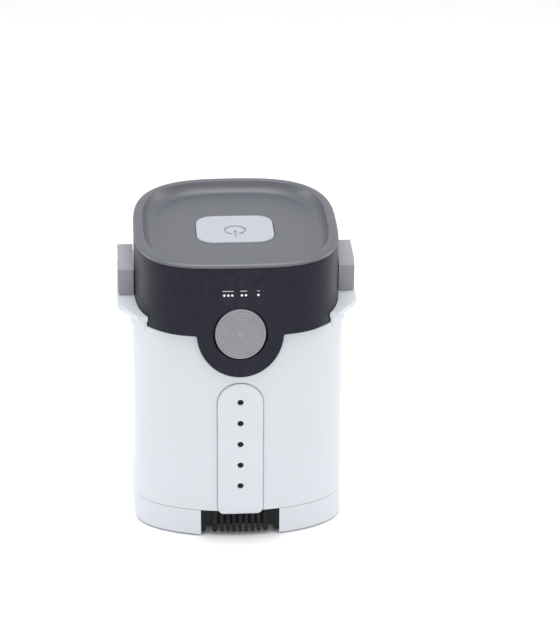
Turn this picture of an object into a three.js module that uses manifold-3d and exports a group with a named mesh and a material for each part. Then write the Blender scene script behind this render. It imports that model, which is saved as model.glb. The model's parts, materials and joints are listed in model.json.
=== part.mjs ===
// Upright cordless pool cleaner: a powered head that locks onto a filter tank.
// Millimetres, +Z up, front towards -Y. The origin lies on the ground, below the centre.
import * as THREE from 'three';
import { mergeVertices } from 'three/addons/utils/BufferGeometryUtils.js';
import Module from 'manifold-3d';

const wasm = await Module();
wasm.setup();

// ---------------------------------------------------------------- driving dimensions
const gap = 0.3;                    // between pieces that rest on each other
const slack = 0.6;                  // round pieces that slide or turn
const through = 1;                  // how far a cutter runs past the face that it opens

const tankHalfWidth = 99;
const tankHalfDepth = 103.8;
const tankEndDepth = 48.5;          // depth of the curved front and back
const tankWall = 3;
const baseHeight = 28.2;            // top of the base ring, where the tank shell starts
const groundClearance = 1.2;        // base ring above the ground, when it stands on its feet
const basePlateBottom = 12;
const basePlateThickness = 3;
const tankHeight = 185.4;           // tank shell, from the base ring up to its deck
const deckThickness = 4;
const deckWidth = 13;               // flat rim round the mouth of the tank
const sealInset = 5.5;              // deck seal and its groove, inside the tank's outline
const sealWidth = 5;
const sealDepth = 2.2;

const notchWidth = 75.3;            // opening in the front of the base ring
const notchDepth = 14;
const combRecess = 2.2;             // tooth fronts behind the tank's front
const combDepth = 7;
const combTipHeight = 4;
const combWebBottom = 9.5;
const combTopGap = 1;
const combWebThickness = 2;
const combPitch = 5.85;
const combFineTeeth = 7;
const combFineWidth = 3.6;
const combWideWidth = 4.8;
const combOuterWidth = 4.3;
const combWindowWidth = 6.1;        // plain web between a wide tooth and the outer tooth

const stripHalfWidth = 21.4;
const stripDrop = 2.4;              // strip's lower edge below the top of the base ring
const stripRoom = 7.5;              // between the top of the strip and the head's tongue
const stripThickness = 4.4;
const stripProud = 2.5;
const stripGap = 0.9;
const stripCorner = 6;
const stripEdge = 1.6;              // rounding of the strip's front edge
const stripPadThickness = 3;
const stripPadMargin = 5;
const studRadius = 2.6;
const studCount = 5;
const studRise = 28.7;              // lowest stud above the top of the base ring
const studDrop = 18.9;              // highest stud below the top of the strip
const studShankRadius = 1.5;
const studSeat = 1.2;               // stud's edge behind the front of the strip
const studDome = 0.8;
const studHoleDepth = 2.6;

const ledgeMargin = 1;              // ledges wider than the latches that they carry
const ledgeRise = 10.6;             // top of the ledges above the tank's deck
const ledgeThickness = 5;
const ledgeHalfLength = 49;
const ledgeFootHalfLength = 80;
const ledgeFootInset = 2.6;         // ends of the ledges inside the head's side
const ledgeClearance = 0.5;         // to the head's side
const cheekProud = 1.6;             // web below each ledge, outside the tank
const cheekShort = 1.5;
const cheekRunX = 12;               // how the web slopes back into the tank
const cheekRunY = 18;

const headSideInset = 2.4;          // head narrower than the tank on each side
const headOverhang = 3;             // head deeper than the tank at front and back
const headSquareness = 3.44;        // front corners
const rearSquareness = 2.9;         // rear corners are rounder
const headGap = 0.6;                // above the tank's deck
const headHeight = 69;              // from the head's lower edge up to the cover
const headWall = 3;
const headFloor = 3.5;

const coverRise = 4;                // cover's rounded edge above its parting line
const coverEdge = 5.8;              // width of that rounding
const rimFlat = 1.6;
const trayDepth = 10.8;
const trayCove = 9;
const trayFloor = 3;
const gasketHeight = 3;

const powerButtonWidth = 73.7;
const powerButtonDepth = 63.3;
const powerButtonCorner = 17;
const powerButtonProud = 1;
const powerButtonFlange = 2.6;      // thickness and reach of the flange below the tray
const powerTravel = 3;

const apronWidth = 81.2;            // round tongue of the head's front wall, over the tank
const apronHeight = 89.6;
const modeButtonWidth = 48.6;
const modeButtonHeight = 50.8;
const modeButtonRise = 2.5;         // button's centre above the head's lower edge
const modeButtonThickness = 3.3;
const modeButtonGap = 1;
const modeButtonProud = 0.4;
const modeTravel = 1.5;
const modeWellDepth = 5.5;
const modeWellWall = 2;
const modeWellFloor = 1.4;
const modeWellRoom = 0.8;           // between the well and the pocket in the tank
const modePostRadius = 4;
const modePostRise = 12;
const modePostLength = 11;
const ridgeCount = 5;
const ridgeHeight = 0.6;
const modeSwitchRadius = 6;

const lampRadius = 1.5;
const lampRise = 42.2;              // row of lamps above the head's lower edge
const lampPlaces = [-15, -11.3, -7.7, 1.2, 4.9, 16.4];
const markRise = 4.2;               // thin bars above the lamps
const markThickness = 0.6;
const marks = [[-16.6, -6.4], [-0.2, 6.1], [15.1, 17.8]];
const lampFit = 0.3;

const latchWidth = 14.8;
const latchFront = -31;
const latchBack = 17;
const latchHeight = 31.7;
const latchBevel = 5.6;
const latchSideGap = 0.6;
const latchPinRadius = 1.3;
const latchEye = 3.2;               // radius of the latch's rounded lower corner
const knuckleWidth = 8;
const latchPinInset = 6;            // pin's ends inside the latch
const latchPadSize = [1.4, 20, 12];
const latchPadRise = 13;

const rearPanelHalfWidth = 38;      // sunken panel at the back, for the socket and the outlet
const rearPanelRise = 4.5;          // panel's lower edge above the head's lower edge
const rearPanelDepth = 4.2;
const rearBacking = 3;
const portMargin = 2.5;             // port cover below the top of the panel
const portHalfWidth = 13;
const portCoverHeight = 15.5;
const portCoverThickness = 2.6;
const portPinRadius = 0.8;
const portSocketRadius = 6;
const portLugWidth = 3;
const portLugRadius = 1.6;

const grilleHalfWidth = 34;
const grilleRise = 6;               // outlet's lower edge above the head's lower edge
const grilleRoom = 1;               // between the outlet and the port cover's lugs
const grilleBorder = 6;
const neckBorder = 4;               // above and below the neck behind the outlet
const grilleSlots = 7;
const grilleBar = 2.4;

const podRadius = 35;
const podWall = 2.5;
const podFloor = 3;
const podLength = 84;
const podFlangeReach = 9;           // flange wider than the pod
const podFlangeThickness = 3.7;
const podScrewRoom = 4.5;           // screws outside the pod's wall
const motorLength = 62;
const shaftRadius = 4;
const shaftInMotor = 20;            // length of shaft inside the motor
const sealRadius = 9;
const sealHeight = 3.6;
const voluteRadius = 42;
const voluteHeight = 26;
const voluteWall = 3;
const voluteEye = 16;
const impellerRadius = 33;
const impellerBlades = 7;
const bladeThickness = 2;
const ductHalfWidth = 20;
const ductDepth = 16;
const ductWall = 2;

const cellRadius = 9.2;
const cellLength = 65;
const cellCount = 4;
const cellPitch = 20;
const cellTrayThickness = 3;
const boardWidth = 116;
const boardDepth = 72;
const boardThickness = 1.6;
const boardHeight = 34;             // above the head's inner floor
const postRadius = 3;
const domeRadius = 8;

const mouthWidth = 60;
const mouthDepth = 34;
const mouthCorner = 8;
const ductRise = 19;                // intake throat above the base plate
const throatWall = 3;
const flapThickness = 2.4;
const flapPinRadius = 1.2;
const flapEye = 2.6;
const flapPivotRoom = 3.3;          // pivot behind the throat's wall
const throatFlange = 8;
const basketInset = 16;             // outside of the basket inside the tank's outline
const basketRise = 5;               // underside of the basket above the base plate
const basketWall = 2;
const basketTopGap = 8;
const basketSlotWidth = 17;
const basketRib = 8;
const basketSill = 15;              // plain wall below the lower windows
const basketBrim = 12;              // plain wall above the upper windows
const floorHoleRoom = 2;            // between the basket's floor and the throat

const footRadius = 7;
const footThickness = 2.5;
const footPlaceX = 70;
const footPlaceY = 62;
const pegRadius = 2.5;
const bossRadius = 5.2;
const bossPlaceY = 40;
const bossHeight = 26;
const bossHoleDepth = 18;
const baseScrewReach = 16;          // screw tips above the base ring
const screwRadius = 1.6;
const screwHeadRadius = 3.5;
const screwHeadHeight = 2.2;
const screwSocketRadius = 1.3;
const screwSocketDepth = 1.2;
const screwPlay = 0.35;

// ---------------------------------------------------------------- derived places
const tankTop = baseHeight + tankHeight;
const stripBottom = baseHeight - stripDrop;
const ledgeTop = tankTop + ledgeRise;
const headBottom = tankTop + headGap;
const headHalfWidth = tankHalfWidth - headSideInset;
const headHalfDepth = tankHalfDepth + headOverhang;
const partingLine = headBottom + headHeight;
const rimTop = partingLine + coverRise;
const trayTop = rimTop - trayDepth;
const headInside = headBottom + headFloor;
const gasketTop = trayTop - trayFloor - gap;
const gasketBottom = gasketTop - gasketHeight;
const rearPanelBottom = headBottom + rearPanelRise;
const rearPanelTop = gasketBottom - gap - rearBacking;
const portHeight = rearPanelTop - portMargin - portCoverHeight;
const grilleBottom = headBottom + grilleRise;
const grilleTop = portHeight - portLugRadius - grilleRoom;
const lampHeight = headBottom + lampRise;
const markHeight = lampHeight + markRise;
const basePlateTop = basePlateBottom + basePlateThickness;
const throatTop = basePlateTop + gap + ductRise;
const basketBottom = basePlateTop + basketRise;
const podBottom = headBottom - podLength;
const podFlangeRadius = podRadius + podFlangeReach;
const podScrewCircle = podRadius + podScrewRoom;
const voluteTop = podBottom - sealHeight - gap;
const voluteBottom = voluteTop - voluteHeight;
const ductFront = voluteRadius + 1.4;
const boardBottom = headInside + boardHeight;
const latchOuter = headHalfWidth + latchSideGap + latchWidth;
const latchPivotX = latchOuter - latchEye;
const ledgeReach = latchOuter + ledgeMargin;
const ledgeFootReach = headHalfWidth - ledgeFootInset;
const latchBottom = ledgeTop + gap;
const latchPivotZ = latchBottom + latchEye;
const modeCentre = headBottom + modeButtonRise;
const stripTop = modeCentre - apronHeight / 2 - stripRoom;
const studPitch = (stripTop - studDrop - baseHeight - studRise) / (studCount - 1);
const rearFloor = headHalfDepth - rearPanelDepth;
const rearReach = headHalfDepth + modeButtonProud;
const wellBack = -headHalfDepth + modeWellDepth + modeWellFloor;

// ---------------------------------------------------------------- materials
function finish(color, roughness, metalness = 0) {
  return new THREE.MeshStandardMaterial({ color, roughness, metalness });
}
const white = finish(0xe6eaf0, 0.38);
const charcoal = finish(0x2c2d36, 0.42);
const tray = finish(0x3a3c44, 0.5);
const buttonGrey = finish(0xb9bdc4, 0.4);
const modeGrey = finish(0x9c9ca3, 0.45);
const latchGrey = finish(0x9fa0a8, 0.4);
const black = finish(0x15161a, 0.5);
const rubber = finish(0x1b1b1d, 0.8);
const lamp = finish(0xffffff, 0.3);
const steel = finish(0xb8bbc0, 0.3, 1);
const green = finish(0x1f5a3c, 0.5);
const cellBlue = finish(0x2c5d8f, 0.4);
const screen = finish(0xd7dde3, 0.5);

// ---------------------------------------------------------------- geometry helpers
function solid(geometry) {
  const plain = new THREE.BufferGeometry();
  plain.setAttribute('position', geometry.getAttribute('position').clone());
  if (geometry.index) plain.setIndex(geometry.index.clone());
  const merged = mergeVertices(plain, 1e-4);
  const corners = merged.index.array;
  const triangles = [];
  for (let i = 0; i < corners.length; i += 3) {
    const [a, b, c] = [corners[i], corners[i + 1], corners[i + 2]];
    if (a !== b && b !== c && c !== a) triangles.push(a, b, c);
  }
  return new wasm.Manifold(new wasm.Mesh({
    numProp: 3,
    vertProperties: Float32Array.from(merged.getAttribute('position').array),
    triVerts: Uint32Array.from(triangles),
  }));
}

function join(first, ...others) {
  return others.reduce((whole, other) => whole.add(other), first);
}

function cut(first, ...others) {
  return others.reduce((whole, other) => whole.subtract(other), first);
}

function block(x0, x1, y0, y1, z0, z1) {
  const geometry = new THREE.BoxGeometry(x1 - x0, y1 - y0, z1 - z0);
  return solid(geometry.translate((x0 + x1) / 2, (y0 + y1) / 2, (z0 + z1) / 2));
}

// A flat outline raised along Z. A bevel rounds one or both ends inside the outline.
function prism(shape, z0, z1, { curveSegments = 5, round = 0, inset = round, steps = 2 } = {}) {
  const geometry = new THREE.ExtrudeGeometry(shape, {
    depth: z1 - z0 - 2 * round,
    curveSegments,
    bevelEnabled: round > 0,
    bevelThickness: round,
    bevelSize: inset,
    bevelOffset: -inset,
    bevelSegments: steps,
  });
  return solid(geometry.translate(0, 0, z0 + round));
}

// A shape drawn in X and Z, extruded along Y.
function prismAlongY(shape, y0, y1, { curveSegments = 6, round = 0, steps = 2 } = {}) {
  const geometry = new THREE.ExtrudeGeometry(shape, {
    depth: y1 - y0 - 2 * round,
    curveSegments,
    bevelEnabled: round > 0,
    bevelThickness: round,
    bevelSize: round,
    bevelOffset: -round,
    bevelSegments: steps,
  });
  return solid(geometry.rotateX(Math.PI / 2).translate(0, y1 - round, 0));
}

// A shape drawn in Y and Z, extruded along X.
function prismAlongX(shape, x0, x1) {
  const geometry = new THREE.ExtrudeGeometry(shape, { depth: x1 - x0, bevelEnabled: false });
  return solid(geometry.rotateX(Math.PI / 2).rotateZ(Math.PI / 2).translate(x0, 0, 0));
}

function rod(radius, z0, z1, x = 0, y = 0, sides = 16, topRadius = radius) {
  const geometry = new THREE.CylinderGeometry(topRadius, radius, z1 - z0, sides);
  return solid(geometry.rotateX(Math.PI / 2).translate(x, y, (z0 + z1) / 2));
}

function rodAlongY(radius, y0, y1, x, z, sides = 16) {
  const geometry = new THREE.CylinderGeometry(radius, radius, y1 - y0, sides);
  return solid(geometry.translate(x, (y0 + y1) / 2, z));
}

function rodAlongX(radius, x0, x1, y, z, sides = 16) {
  const geometry = new THREE.CylinderGeometry(radius, radius, x1 - x0, sides);
  return solid(geometry.rotateZ(Math.PI / 2).translate((x0 + x1) / 2, y, z));
}

function pipe(outer, inner, z0, z1, sides = 32) {
  return cut(rod(outer, z0, z1, 0, 0, sides), rod(inner, z0 - through, z1 + through, 0, 0, sides));
}

// ---------------------------------------------------------------- outlines
function polygon(points) {
  return new THREE.Shape(points.map(([x, y]) => new THREE.Vector2(x, y)));
}

// Straight sides and curved ends, seen from above.
function tankOutline(inset = 0, stepsPerEnd = 14) {
  const halfWidth = tankHalfWidth - inset;
  const endDepth = tankEndDepth - inset;
  const endCentre = tankHalfDepth - tankEndDepth;
  const points = [];
  for (const end of [-1, 1]) {
    for (let i = 0; i <= stepsPerEnd; i += 1) {
      const angle = (Math.PI * i) / stepsPerEnd;
      const x = end * Math.cos(angle) * halfWidth;
      points.push([x, end * (endCentre + endDepth * Math.sin(angle))]);
    }
  }
  return polygon(points);
}

function tankFrontAt(x, inset = 0) {
  const across = x / (tankHalfWidth - inset);
  const endCentre = tankHalfDepth - tankEndDepth;
  return -(endCentre + (tankEndDepth - inset) * Math.sqrt(1 - across * across));
}

function headPoint(angle, inset) {
  const c = Math.cos(angle);
  const s = Math.sin(angle);
  const power = 2 / (s < 0 ? headSquareness : rearSquareness);
  const x = (headHalfWidth - inset) * Math.sign(c) * Math.abs(c) ** power;
  const y = (headHalfDepth - inset) * Math.sign(s) * Math.abs(s) ** power;
  return [x, y];
}

// Rounded square, seen from above. Points are closer together round the corners.
function headOutline(inset = 0, count = 40) {
  const points = [];
  for (let i = 0; i < count; i += 1) {
    points.push(headPoint((2 * Math.PI * (i + 0.5)) / count, inset));
  }
  return polygon(points);
}

function roundedRectangle(halfX, halfY, radius, x = 0, y = 0) {
  const shape = new THREE.Shape();
  shape.absarc(x + halfX - radius, y - halfY + radius, radius, -Math.PI / 2, 0);
  shape.absarc(x + halfX - radius, y + halfY - radius, radius, 0, Math.PI / 2);
  shape.absarc(x - halfX + radius, y + halfY - radius, radius, Math.PI / 2, Math.PI);
  shape.absarc(x - halfX + radius, y - halfY + radius, radius, Math.PI, 1.5 * Math.PI);
  return shape;
}

// Upright strip with a round top and rounded lower corners, drawn in X and Z.
function stripOutline(margin = 0) {
  const half = stripHalfWidth + margin;
  const bottom = stripBottom - margin;
  const corner = stripCorner + margin;
  const shape = new THREE.Shape();
  shape.absarc(half - corner, bottom + corner, corner, -Math.PI / 2, 0);
  shape.absarc(0, stripTop - stripHalfWidth, half, 0, Math.PI);
  shape.absarc(-half + corner, bottom + corner, corner, Math.PI, 1.5 * Math.PI);
  return shape;
}

// ---------------------------------------------------------------- assembly list
const cleaner = new THREE.Group();

function add(name, body, material) {
  const mesh = body.getMesh();
  const geometry = new THREE.BufferGeometry();
  geometry.setAttribute('position', new THREE.BufferAttribute(mesh.vertProperties, mesh.numProp));
  geometry.setIndex(new THREE.BufferAttribute(mesh.triVerts, 1));
  geometry.computeVertexNormals();
  const piece = new THREE.Mesh(geometry, material);
  piece.name = name;
  cleaner.add(piece);
}

// ---------------------------------------------------------------- tank
function bossPlaces() {
  const x = tankHalfWidth - tankWall - bossRadius + gap;
  return [[-x, -bossPlaceY], [x, -bossPlaceY], [-x, bossPlaceY], [x, bossPlaceY]];
}

function footPlaces() {
  return [[-footPlaceX, -footPlaceY], [footPlaceX, -footPlaceY],
    [-footPlaceX, footPlaceY], [footPlaceX, footPlaceY]];
}

function baseRing() {
  const top = baseHeight - gap;
  const outside = prism(tankOutline(), groundClearance, top);
  const under = prism(tankOutline(tankWall), groundClearance - through, basePlateBottom);
  const above = prism(tankOutline(tankWall), basePlateTop, top + through);
  const mouth = prism(roundedRectangle(mouthWidth / 2, mouthDepth / 2, mouthCorner),
    basePlateBottom - through, basePlateTop + through);
  const notch = block(-notchWidth / 2, notchWidth / 2, -tankHalfDepth - through,
    -tankHalfDepth + notchDepth, groundClearance - through, baseHeight + through);
  const sockets = footPlaces().map(([x, y]) => cut(
    rod(footRadius, footHeight() + gap, basePlateBottom + gap, x, y),
    rod(pegRadius + gap, footHeight(), basePlateBottom - 1, x, y, 10),
  ));
  const holes = bossPlaces().map(([x, y]) => rod(screwRadius + screwPlay,
    basePlateBottom - through, basePlateTop + through, x, y, 10));
  return cut(join(cut(outside, under, above), ...sockets), mouth, notch, ...holes);
}

function footHeight() {
  return groundClearance + footThickness;
}

function foot([x, y]) {
  const pad = rod(footRadius, 0, footHeight(), x, y);
  const peg = rod(pegRadius, footHeight() - through, basePlateBottom - 2, x, y, 10);
  return join(pad, peg);
}

function ledges() {
  const bottom = ledgeTop - ledgeThickness;
  const foot0 = ledgeFootHalfLength - cheekShort;
  const shelf = polygon([[-ledgeFootReach, -ledgeFootHalfLength],
    [ledgeFootReach, -ledgeFootHalfLength], [ledgeReach, -ledgeHalfLength],
    [ledgeReach, ledgeHalfLength], [ledgeFootReach, ledgeFootHalfLength],
    [-ledgeFootReach, ledgeFootHalfLength], [-ledgeReach, ledgeHalfLength],
    [-ledgeReach, -ledgeHalfLength]]);
  const reach = tankHalfWidth + cheekProud;
  const reach0 = reach - cheekRunX;
  const foot1 = foot0 - cheekRunY;
  const cheek = polygon([[-reach0, -foot0], [reach0, -foot0], [reach, -foot1], [reach, foot1],
    [reach0, foot0], [-reach0, foot0], [-reach, foot1], [-reach, -foot1]]);
  const head = prism(headOutline(-ledgeClearance), tankTop, ledgeTop + through);
  return cut(join(prism(shelf, bottom, ledgeTop),
    prism(cheek, tankTop - deckThickness, bottom + gap)), head);
}

function latchKnuckle(side) {
  const x = side * latchPivotX;
  const middle = (latchFront + latchBack) / 2;
  const eye = rodAlongY(latchEye - gap, middle - knuckleWidth / 2, middle + knuckleWidth / 2,
    x, latchPivotZ);
  const web = block(x - latchEye + gap, x + latchEye - gap, middle - knuckleWidth / 2,
    middle + knuckleWidth / 2, ledgeTop - 1, latchPivotZ);
  return cut(join(eye, web), rodAlongY(latchPinRadius + slack / 4,
    middle - knuckleWidth, middle + knuckleWidth, x, latchPivotZ));
}

function tankShell() {
  const outside = prism(tankOutline(), baseHeight, tankTop);
  const inside = prism(tankOutline(tankWall), baseHeight - through, tankTop - deckThickness);
  const mouth = prism(tankOutline(deckWidth), baseHeight, ledgeTop);
  const groove = cut(prism(tankOutline(sealInset), tankTop - sealDepth, tankTop + through),
    prism(tankOutline(sealInset + sealWidth), tankTop - deckThickness, ledgeTop));
  const bosses = bossPlaces().map(([x, y]) => cut(
    rod(bossRadius, baseHeight + gap, baseHeight + bossHeight, x, y),
    rod(screwRadius + screwPlay, baseHeight, baseHeight + bossHoleDepth, x, y, 10),
  ));
  const pad = block(-stripHalfWidth - stripPadMargin, stripHalfWidth + stripPadMargin,
    -tankHalfDepth + stripProud, -tankHalfDepth + tankWall + stripPadThickness,
    baseHeight, stripTop + stripPadMargin);
  const wellBacking = modeOval(modeButtonGap + modeWellWall + modeWellRoom + tankWall,
    -tankHalfDepth + 1, wellBack + 0.5 + tankWall).intersect(outside);
  const wellPocket = modeOval(modeButtonGap + modeWellWall + modeWellRoom,
    -tankHalfDepth - 5, wellBack + 0.5);
  const body = join(cut(outside, inside), pad.intersect(outside), wellBacking, ...bosses,
    ledges());
  const pocketFloor = -tankHalfDepth - stripProud + stripThickness + gap;
  const pocket = prismAlongY(stripOutline(stripGap), -tankHalfDepth - 5, pocketFloor);
  const studHoles = studHeights().map((z) => rodAlongY(studShankRadius + gap,
    -tankHalfDepth - 5, -tankHalfDepth + 12, 0, z, 8));
  return join(cut(body, mouth, groove, pocket, wellPocket, ...studHoles), latchKnuckle(-1),
    latchKnuckle(1));
}

function studHeights() {
  return Array.from({ length: studCount }, (_, i) => baseHeight + studRise + i * studPitch);
}

function frontStrip() {
  const front = -tankHalfDepth - stripProud;
  const body = prismAlongY(stripOutline(), front, front + stripThickness, { round: stripEdge });
  const holes = studHeights().map((z) => rodAlongY(studRadius + gap, front - through,
    front + studHoleDepth, 0, z, 12));
  const shanks = studHeights().map((z) => rodAlongY(studShankRadius + gap, front,
    front + stripThickness + through, 0, z, 8));
  return cut(body, ...holes, ...shanks);
}

function stripStud(z) {
  const front = -tankHalfDepth - stripProud;
  const seat = front + studSeat;
  const dome = [0, 1, 2, 3].map((i) => {
    const angle = (i * Math.PI) / 6;
    return new THREE.Vector2(studRadius * Math.sin(angle), -studDome * Math.cos(angle));
  });
  const cap = new THREE.LatheGeometry([...dome, new THREE.Vector2(0, 0)], 12);
  return join(solid(cap.translate(0, seat, z)), rodAlongY(studRadius, seat, seat + 1, 0, z, 12),
    rodAlongY(studShankRadius, seat + 1 - gap,
      -tankHalfDepth + tankWall + stripPadThickness + through, 0, z, 8));
}

function tooth(centre, width, webFront) {
  const half = width / 2;
  const top = baseHeight - combTopGap;
  const front = tankFrontAt(centre) + combRecess;
  const shape = new THREE.Shape();
  shape.absarc(centre, combTipHeight + half, half, Math.PI, 2 * Math.PI);
  shape.lineTo(centre + half, top);
  shape.lineTo(centre - half, top);
  return prismAlongY(shape, front, webFront + gap, { curveSegments: 5 });
}

function comb() {
  const top = baseHeight - combTopGap;
  const webFront = -tankHalfDepth + combRecess + combDepth;
  const back = webFront + combWebThickness;
  const half = notchWidth / 2 - slack;
  const windowCentre = half - combOuterWidth - combWindowWidth / 2;
  const wideCentre = windowCentre - (combWindowWidth + combWideWidth) / 2;
  const outerCentre = half - combOuterWidth / 2;
  const parts = [block(-half, half, webFront, back, combWebBottom, top)];
  for (const side of [-1, 1]) {
    parts.push(tooth(side * outerCentre, combOuterWidth, webFront));
    parts.push(tooth(side * wideCentre, combWideWidth, webFront));
    const windowFront = tankFrontAt(windowCentre) + combRecess + 1.5;
    parts.push(block(side * windowCentre - combWindowWidth / 2 - gap,
      side * windowCentre + combWindowWidth / 2 + gap, windowFront, webFront + gap,
      combWebBottom, top));
  }
  for (let i = 0; i < combFineTeeth; i += 1) {
    const x = (i - (combFineTeeth - 1) / 2) * combPitch;
    parts.push(tooth(x, combFineWidth, webFront));
  }
  return join(...parts);
}

function throat() {
  const bottom = basePlateTop + gap;
  const halfX = mouthWidth / 2;
  const halfY = mouthDepth / 2;
  const tube = prism(roundedRectangle(halfX + throatWall, halfY + throatWall,
    mouthCorner + throatWall), bottom, throatTop);
  const flange = prism(roundedRectangle(halfX + throatFlange, halfY + throatFlange,
    mouthCorner + throatFlange), bottom, bottom + throatWall);
  const passage = prism(roundedRectangle(halfX, halfY, mouthCorner), bottom - 1, throatTop + 1);
  const lugY = flapPivotY();
  const lugs = [-1, 1].map((side) => block(side * halfX - throatWall, side * halfX + throatWall,
    lugY - throatWall, lugY + throatWall, bottom + throatWall - gap, flapPivotZ() + flapEye));
  const hole = rodAlongX(flapPinRadius + gap, -halfX - 10, halfX + 10, lugY, flapPivotZ(), 16);
  return cut(join(tube, flange, ...lugs), passage, hole);
}

function flapPivotY() {
  return mouthDepth / 2 + throatWall + flapPivotRoom;
}

function flapPivotZ() {
  return throatTop + gap + flapEye;
}

function intakeFlap() {
  const bottom = throatTop + gap;
  const half = mouthWidth / 2;
  const plate = prism(roundedRectangle(half + throatWall - 1, mouthDepth / 2 + throatWall - 1,
    mouthCorner), bottom, bottom + flapThickness);
  const reach = half - 4;
  const arm = block(-reach, reach, mouthDepth / 2, flapPivotY(), bottom, bottom + flapThickness);
  const eye = rodAlongX(flapEye, -reach, reach, flapPivotY(), flapPivotZ());
  return cut(join(plate, arm, eye), rodAlongX(flapPinRadius + gap, -half, half,
    flapPivotY(), flapPivotZ(), 16));
}

function basketFloor() {
  const top = basketBottom + basketWall;
  const around = throatWall + floorHoleRoom;
  const throatHole = prism(roundedRectangle(mouthWidth / 2 + around, mouthDepth / 2 + around,
    mouthCorner), basketBottom - through, top + through);
  const lugX = mouthWidth / 2 + around;
  const lugHole = block(-lugX, lugX, flapPivotY() - around, flapPivotY() + around,
    basketBottom - through, top + through);
  return cut(prism(tankOutline(basketInset, 10), basketBottom, top), throatHole, lugHole);
}

// Open cage that stands on the basket's floor, with two rows of windows.
function basketCage() {
  const bottom = basketBottom + basketWall + gap;
  const top = tankTop - basketTopGap;
  const outside = prism(tankOutline(basketInset, 10), bottom, top);
  const inside = prism(tankOutline(basketInset + basketWall, 10), bottom - through, top + through);
  const endSpan = tankHalfWidth * 0.55;
  const sideSpan = tankHalfDepth - tankEndDepth;
  const middle = (bottom + top) / 2;
  const rows = [[bottom + basketSill, middle - basketRib / 2],
    [middle + basketRib / 2, top - basketBrim]];
  const windows = [];
  for (const [z0, z1] of rows) {
    for (const x of spread(endSpan, basketSlotWidth + basketRib)) {
      windows.push(block(x - basketSlotWidth / 2, x + basketSlotWidth / 2,
        -tankHalfDepth, tankHalfDepth, z0, z1));
    }
    for (const y of spread(sideSpan, basketSlotWidth + basketRib)) {
      windows.push(block(-tankHalfWidth, tankHalfWidth,
        y - basketSlotWidth / 2, y + basketSlotWidth / 2, z0, z1));
    }
  }
  return cut(outside, inside, ...windows);
}

// Evenly spaced places, one pitch apart, centred on zero and inside the half span.
function spread(halfSpan, pitch) {
  const count = Math.floor((2 * halfSpan) / pitch);
  return Array.from({ length: count }, (_, i) => (i - (count - 1) / 2) * pitch);
}

function deckSeal() {
  const bottom = tankTop - sealDepth + gap;
  return cut(prism(tankOutline(sealInset + gap), bottom, tankTop + gap),
    prism(tankOutline(sealInset + sealWidth - gap), bottom - through, tankTop + through));
}

function screw(x, y, headZ, tipZ) {
  const head = rod(screwHeadRadius, headZ, headZ + screwHeadHeight, x, y, 14);
  const socket = rod(screwSocketRadius, headZ - through, headZ + screwSocketDepth, x, y, 6);
  return cut(join(head, rod(screwRadius, headZ + 1, tipZ, x, y, 8)), socket);
}

// ---------------------------------------------------------------- latches
function latch(side) {
  const inner = latchOuter - latchWidth;
  const top = latchBottom + latchHeight;
  const shape = new THREE.Shape();
  shape.moveTo(inner, latchBottom);
  shape.lineTo(latchPivotX, latchBottom);
  shape.absarc(latchPivotX, latchPivotZ, latchEye, -Math.PI / 2, 0);
  shape.lineTo(latchOuter, top);
  shape.lineTo(inner, top);
  const profile = polygon([[latchFront, latchBottom], [latchBack, latchBottom],
    [latchBack, top], [latchFront + latchBevel, top], [latchFront, top - latchBevel]]);
  const body = prismAlongY(shape, latchFront, latchBack)
    .intersect(prismAlongX(profile, inner - through, latchOuter + through));
  const middle = (latchFront + latchBack) / 2;
  const slot = block(latchPivotX - latchEye - slack, latchOuter + through,
    middle - knuckleWidth / 2 - slack, middle + knuckleWidth / 2 + slack,
    latchBottom - 1, latchPivotZ + latchEye + slack);
  const hole = rodAlongY(latchPinRadius + slack / 4, latchFront + latchPinInset,
    latchBack - latchPinInset,
    latchPivotX, latchPivotZ);
  const pocket = block(inner - through, inner + latchPadSize[0], middle - latchPadSize[1] / 2 - gap,
    middle + latchPadSize[1] / 2 + gap, latchPadBottom() - gap,
    latchPadBottom() + latchPadSize[2] + gap);
  return mirrored(cut(body, slot, hole, pocket), side);
}

function latchPadBottom() {
  return latchBottom + latchPadRise;
}

function latchPad(side) {
  const inner = latchOuter - latchWidth;
  const middle = (latchFront + latchBack) / 2;
  return mirrored(block(inner - 0.2, inner + latchPadSize[0] - gap, middle - latchPadSize[1] / 2,
    middle + latchPadSize[1] / 2, latchPadBottom(), latchPadBottom() + latchPadSize[2]), side);
}

function latchPin(side) {
  return rodAlongY(latchPinRadius, latchFront + latchPinInset + gap, latchBack - latchPinInset - gap,
    side * latchPivotX, latchPivotZ);
}

function mirrored(body, side) {
  return side > 0 ? body : body.mirror([1, 0, 0]);
}

// ---------------------------------------------------------------- head
function ovalAroundMode(width, height, sides = 36) {
  const shape = new THREE.Shape();
  shape.absellipse(0, modeCentre, width / 2, height / 2, 0, 2 * Math.PI);
  return polygon(shape.getSpacedPoints(sides).slice(0, -1).map(({ x, y }) => [x, y]));
}

// An oval of the mode button's shape, wider all round by a margin, extruded along Y.
function modeOval(margin, y0, y1, sides = 36) {
  return prismAlongY(ovalAroundMode(modeButtonWidth + 2 * margin, modeButtonHeight + 2 * margin,
    sides), y0, y1);
}

function apron() {
  const oval = ovalAroundMode(apronWidth, apronHeight, 44);
  const drop = prism(headOutline(), headBottom - apronHeight, headInside);
  const tongue = prismAlongY(oval, -headHalfDepth - 2, -tankHalfDepth - 0.4).intersect(drop);
  return join(tongue, modeOval(modeButtonGap + modeWellWall, -headHalfDepth + 1, wellBack));
}

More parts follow.
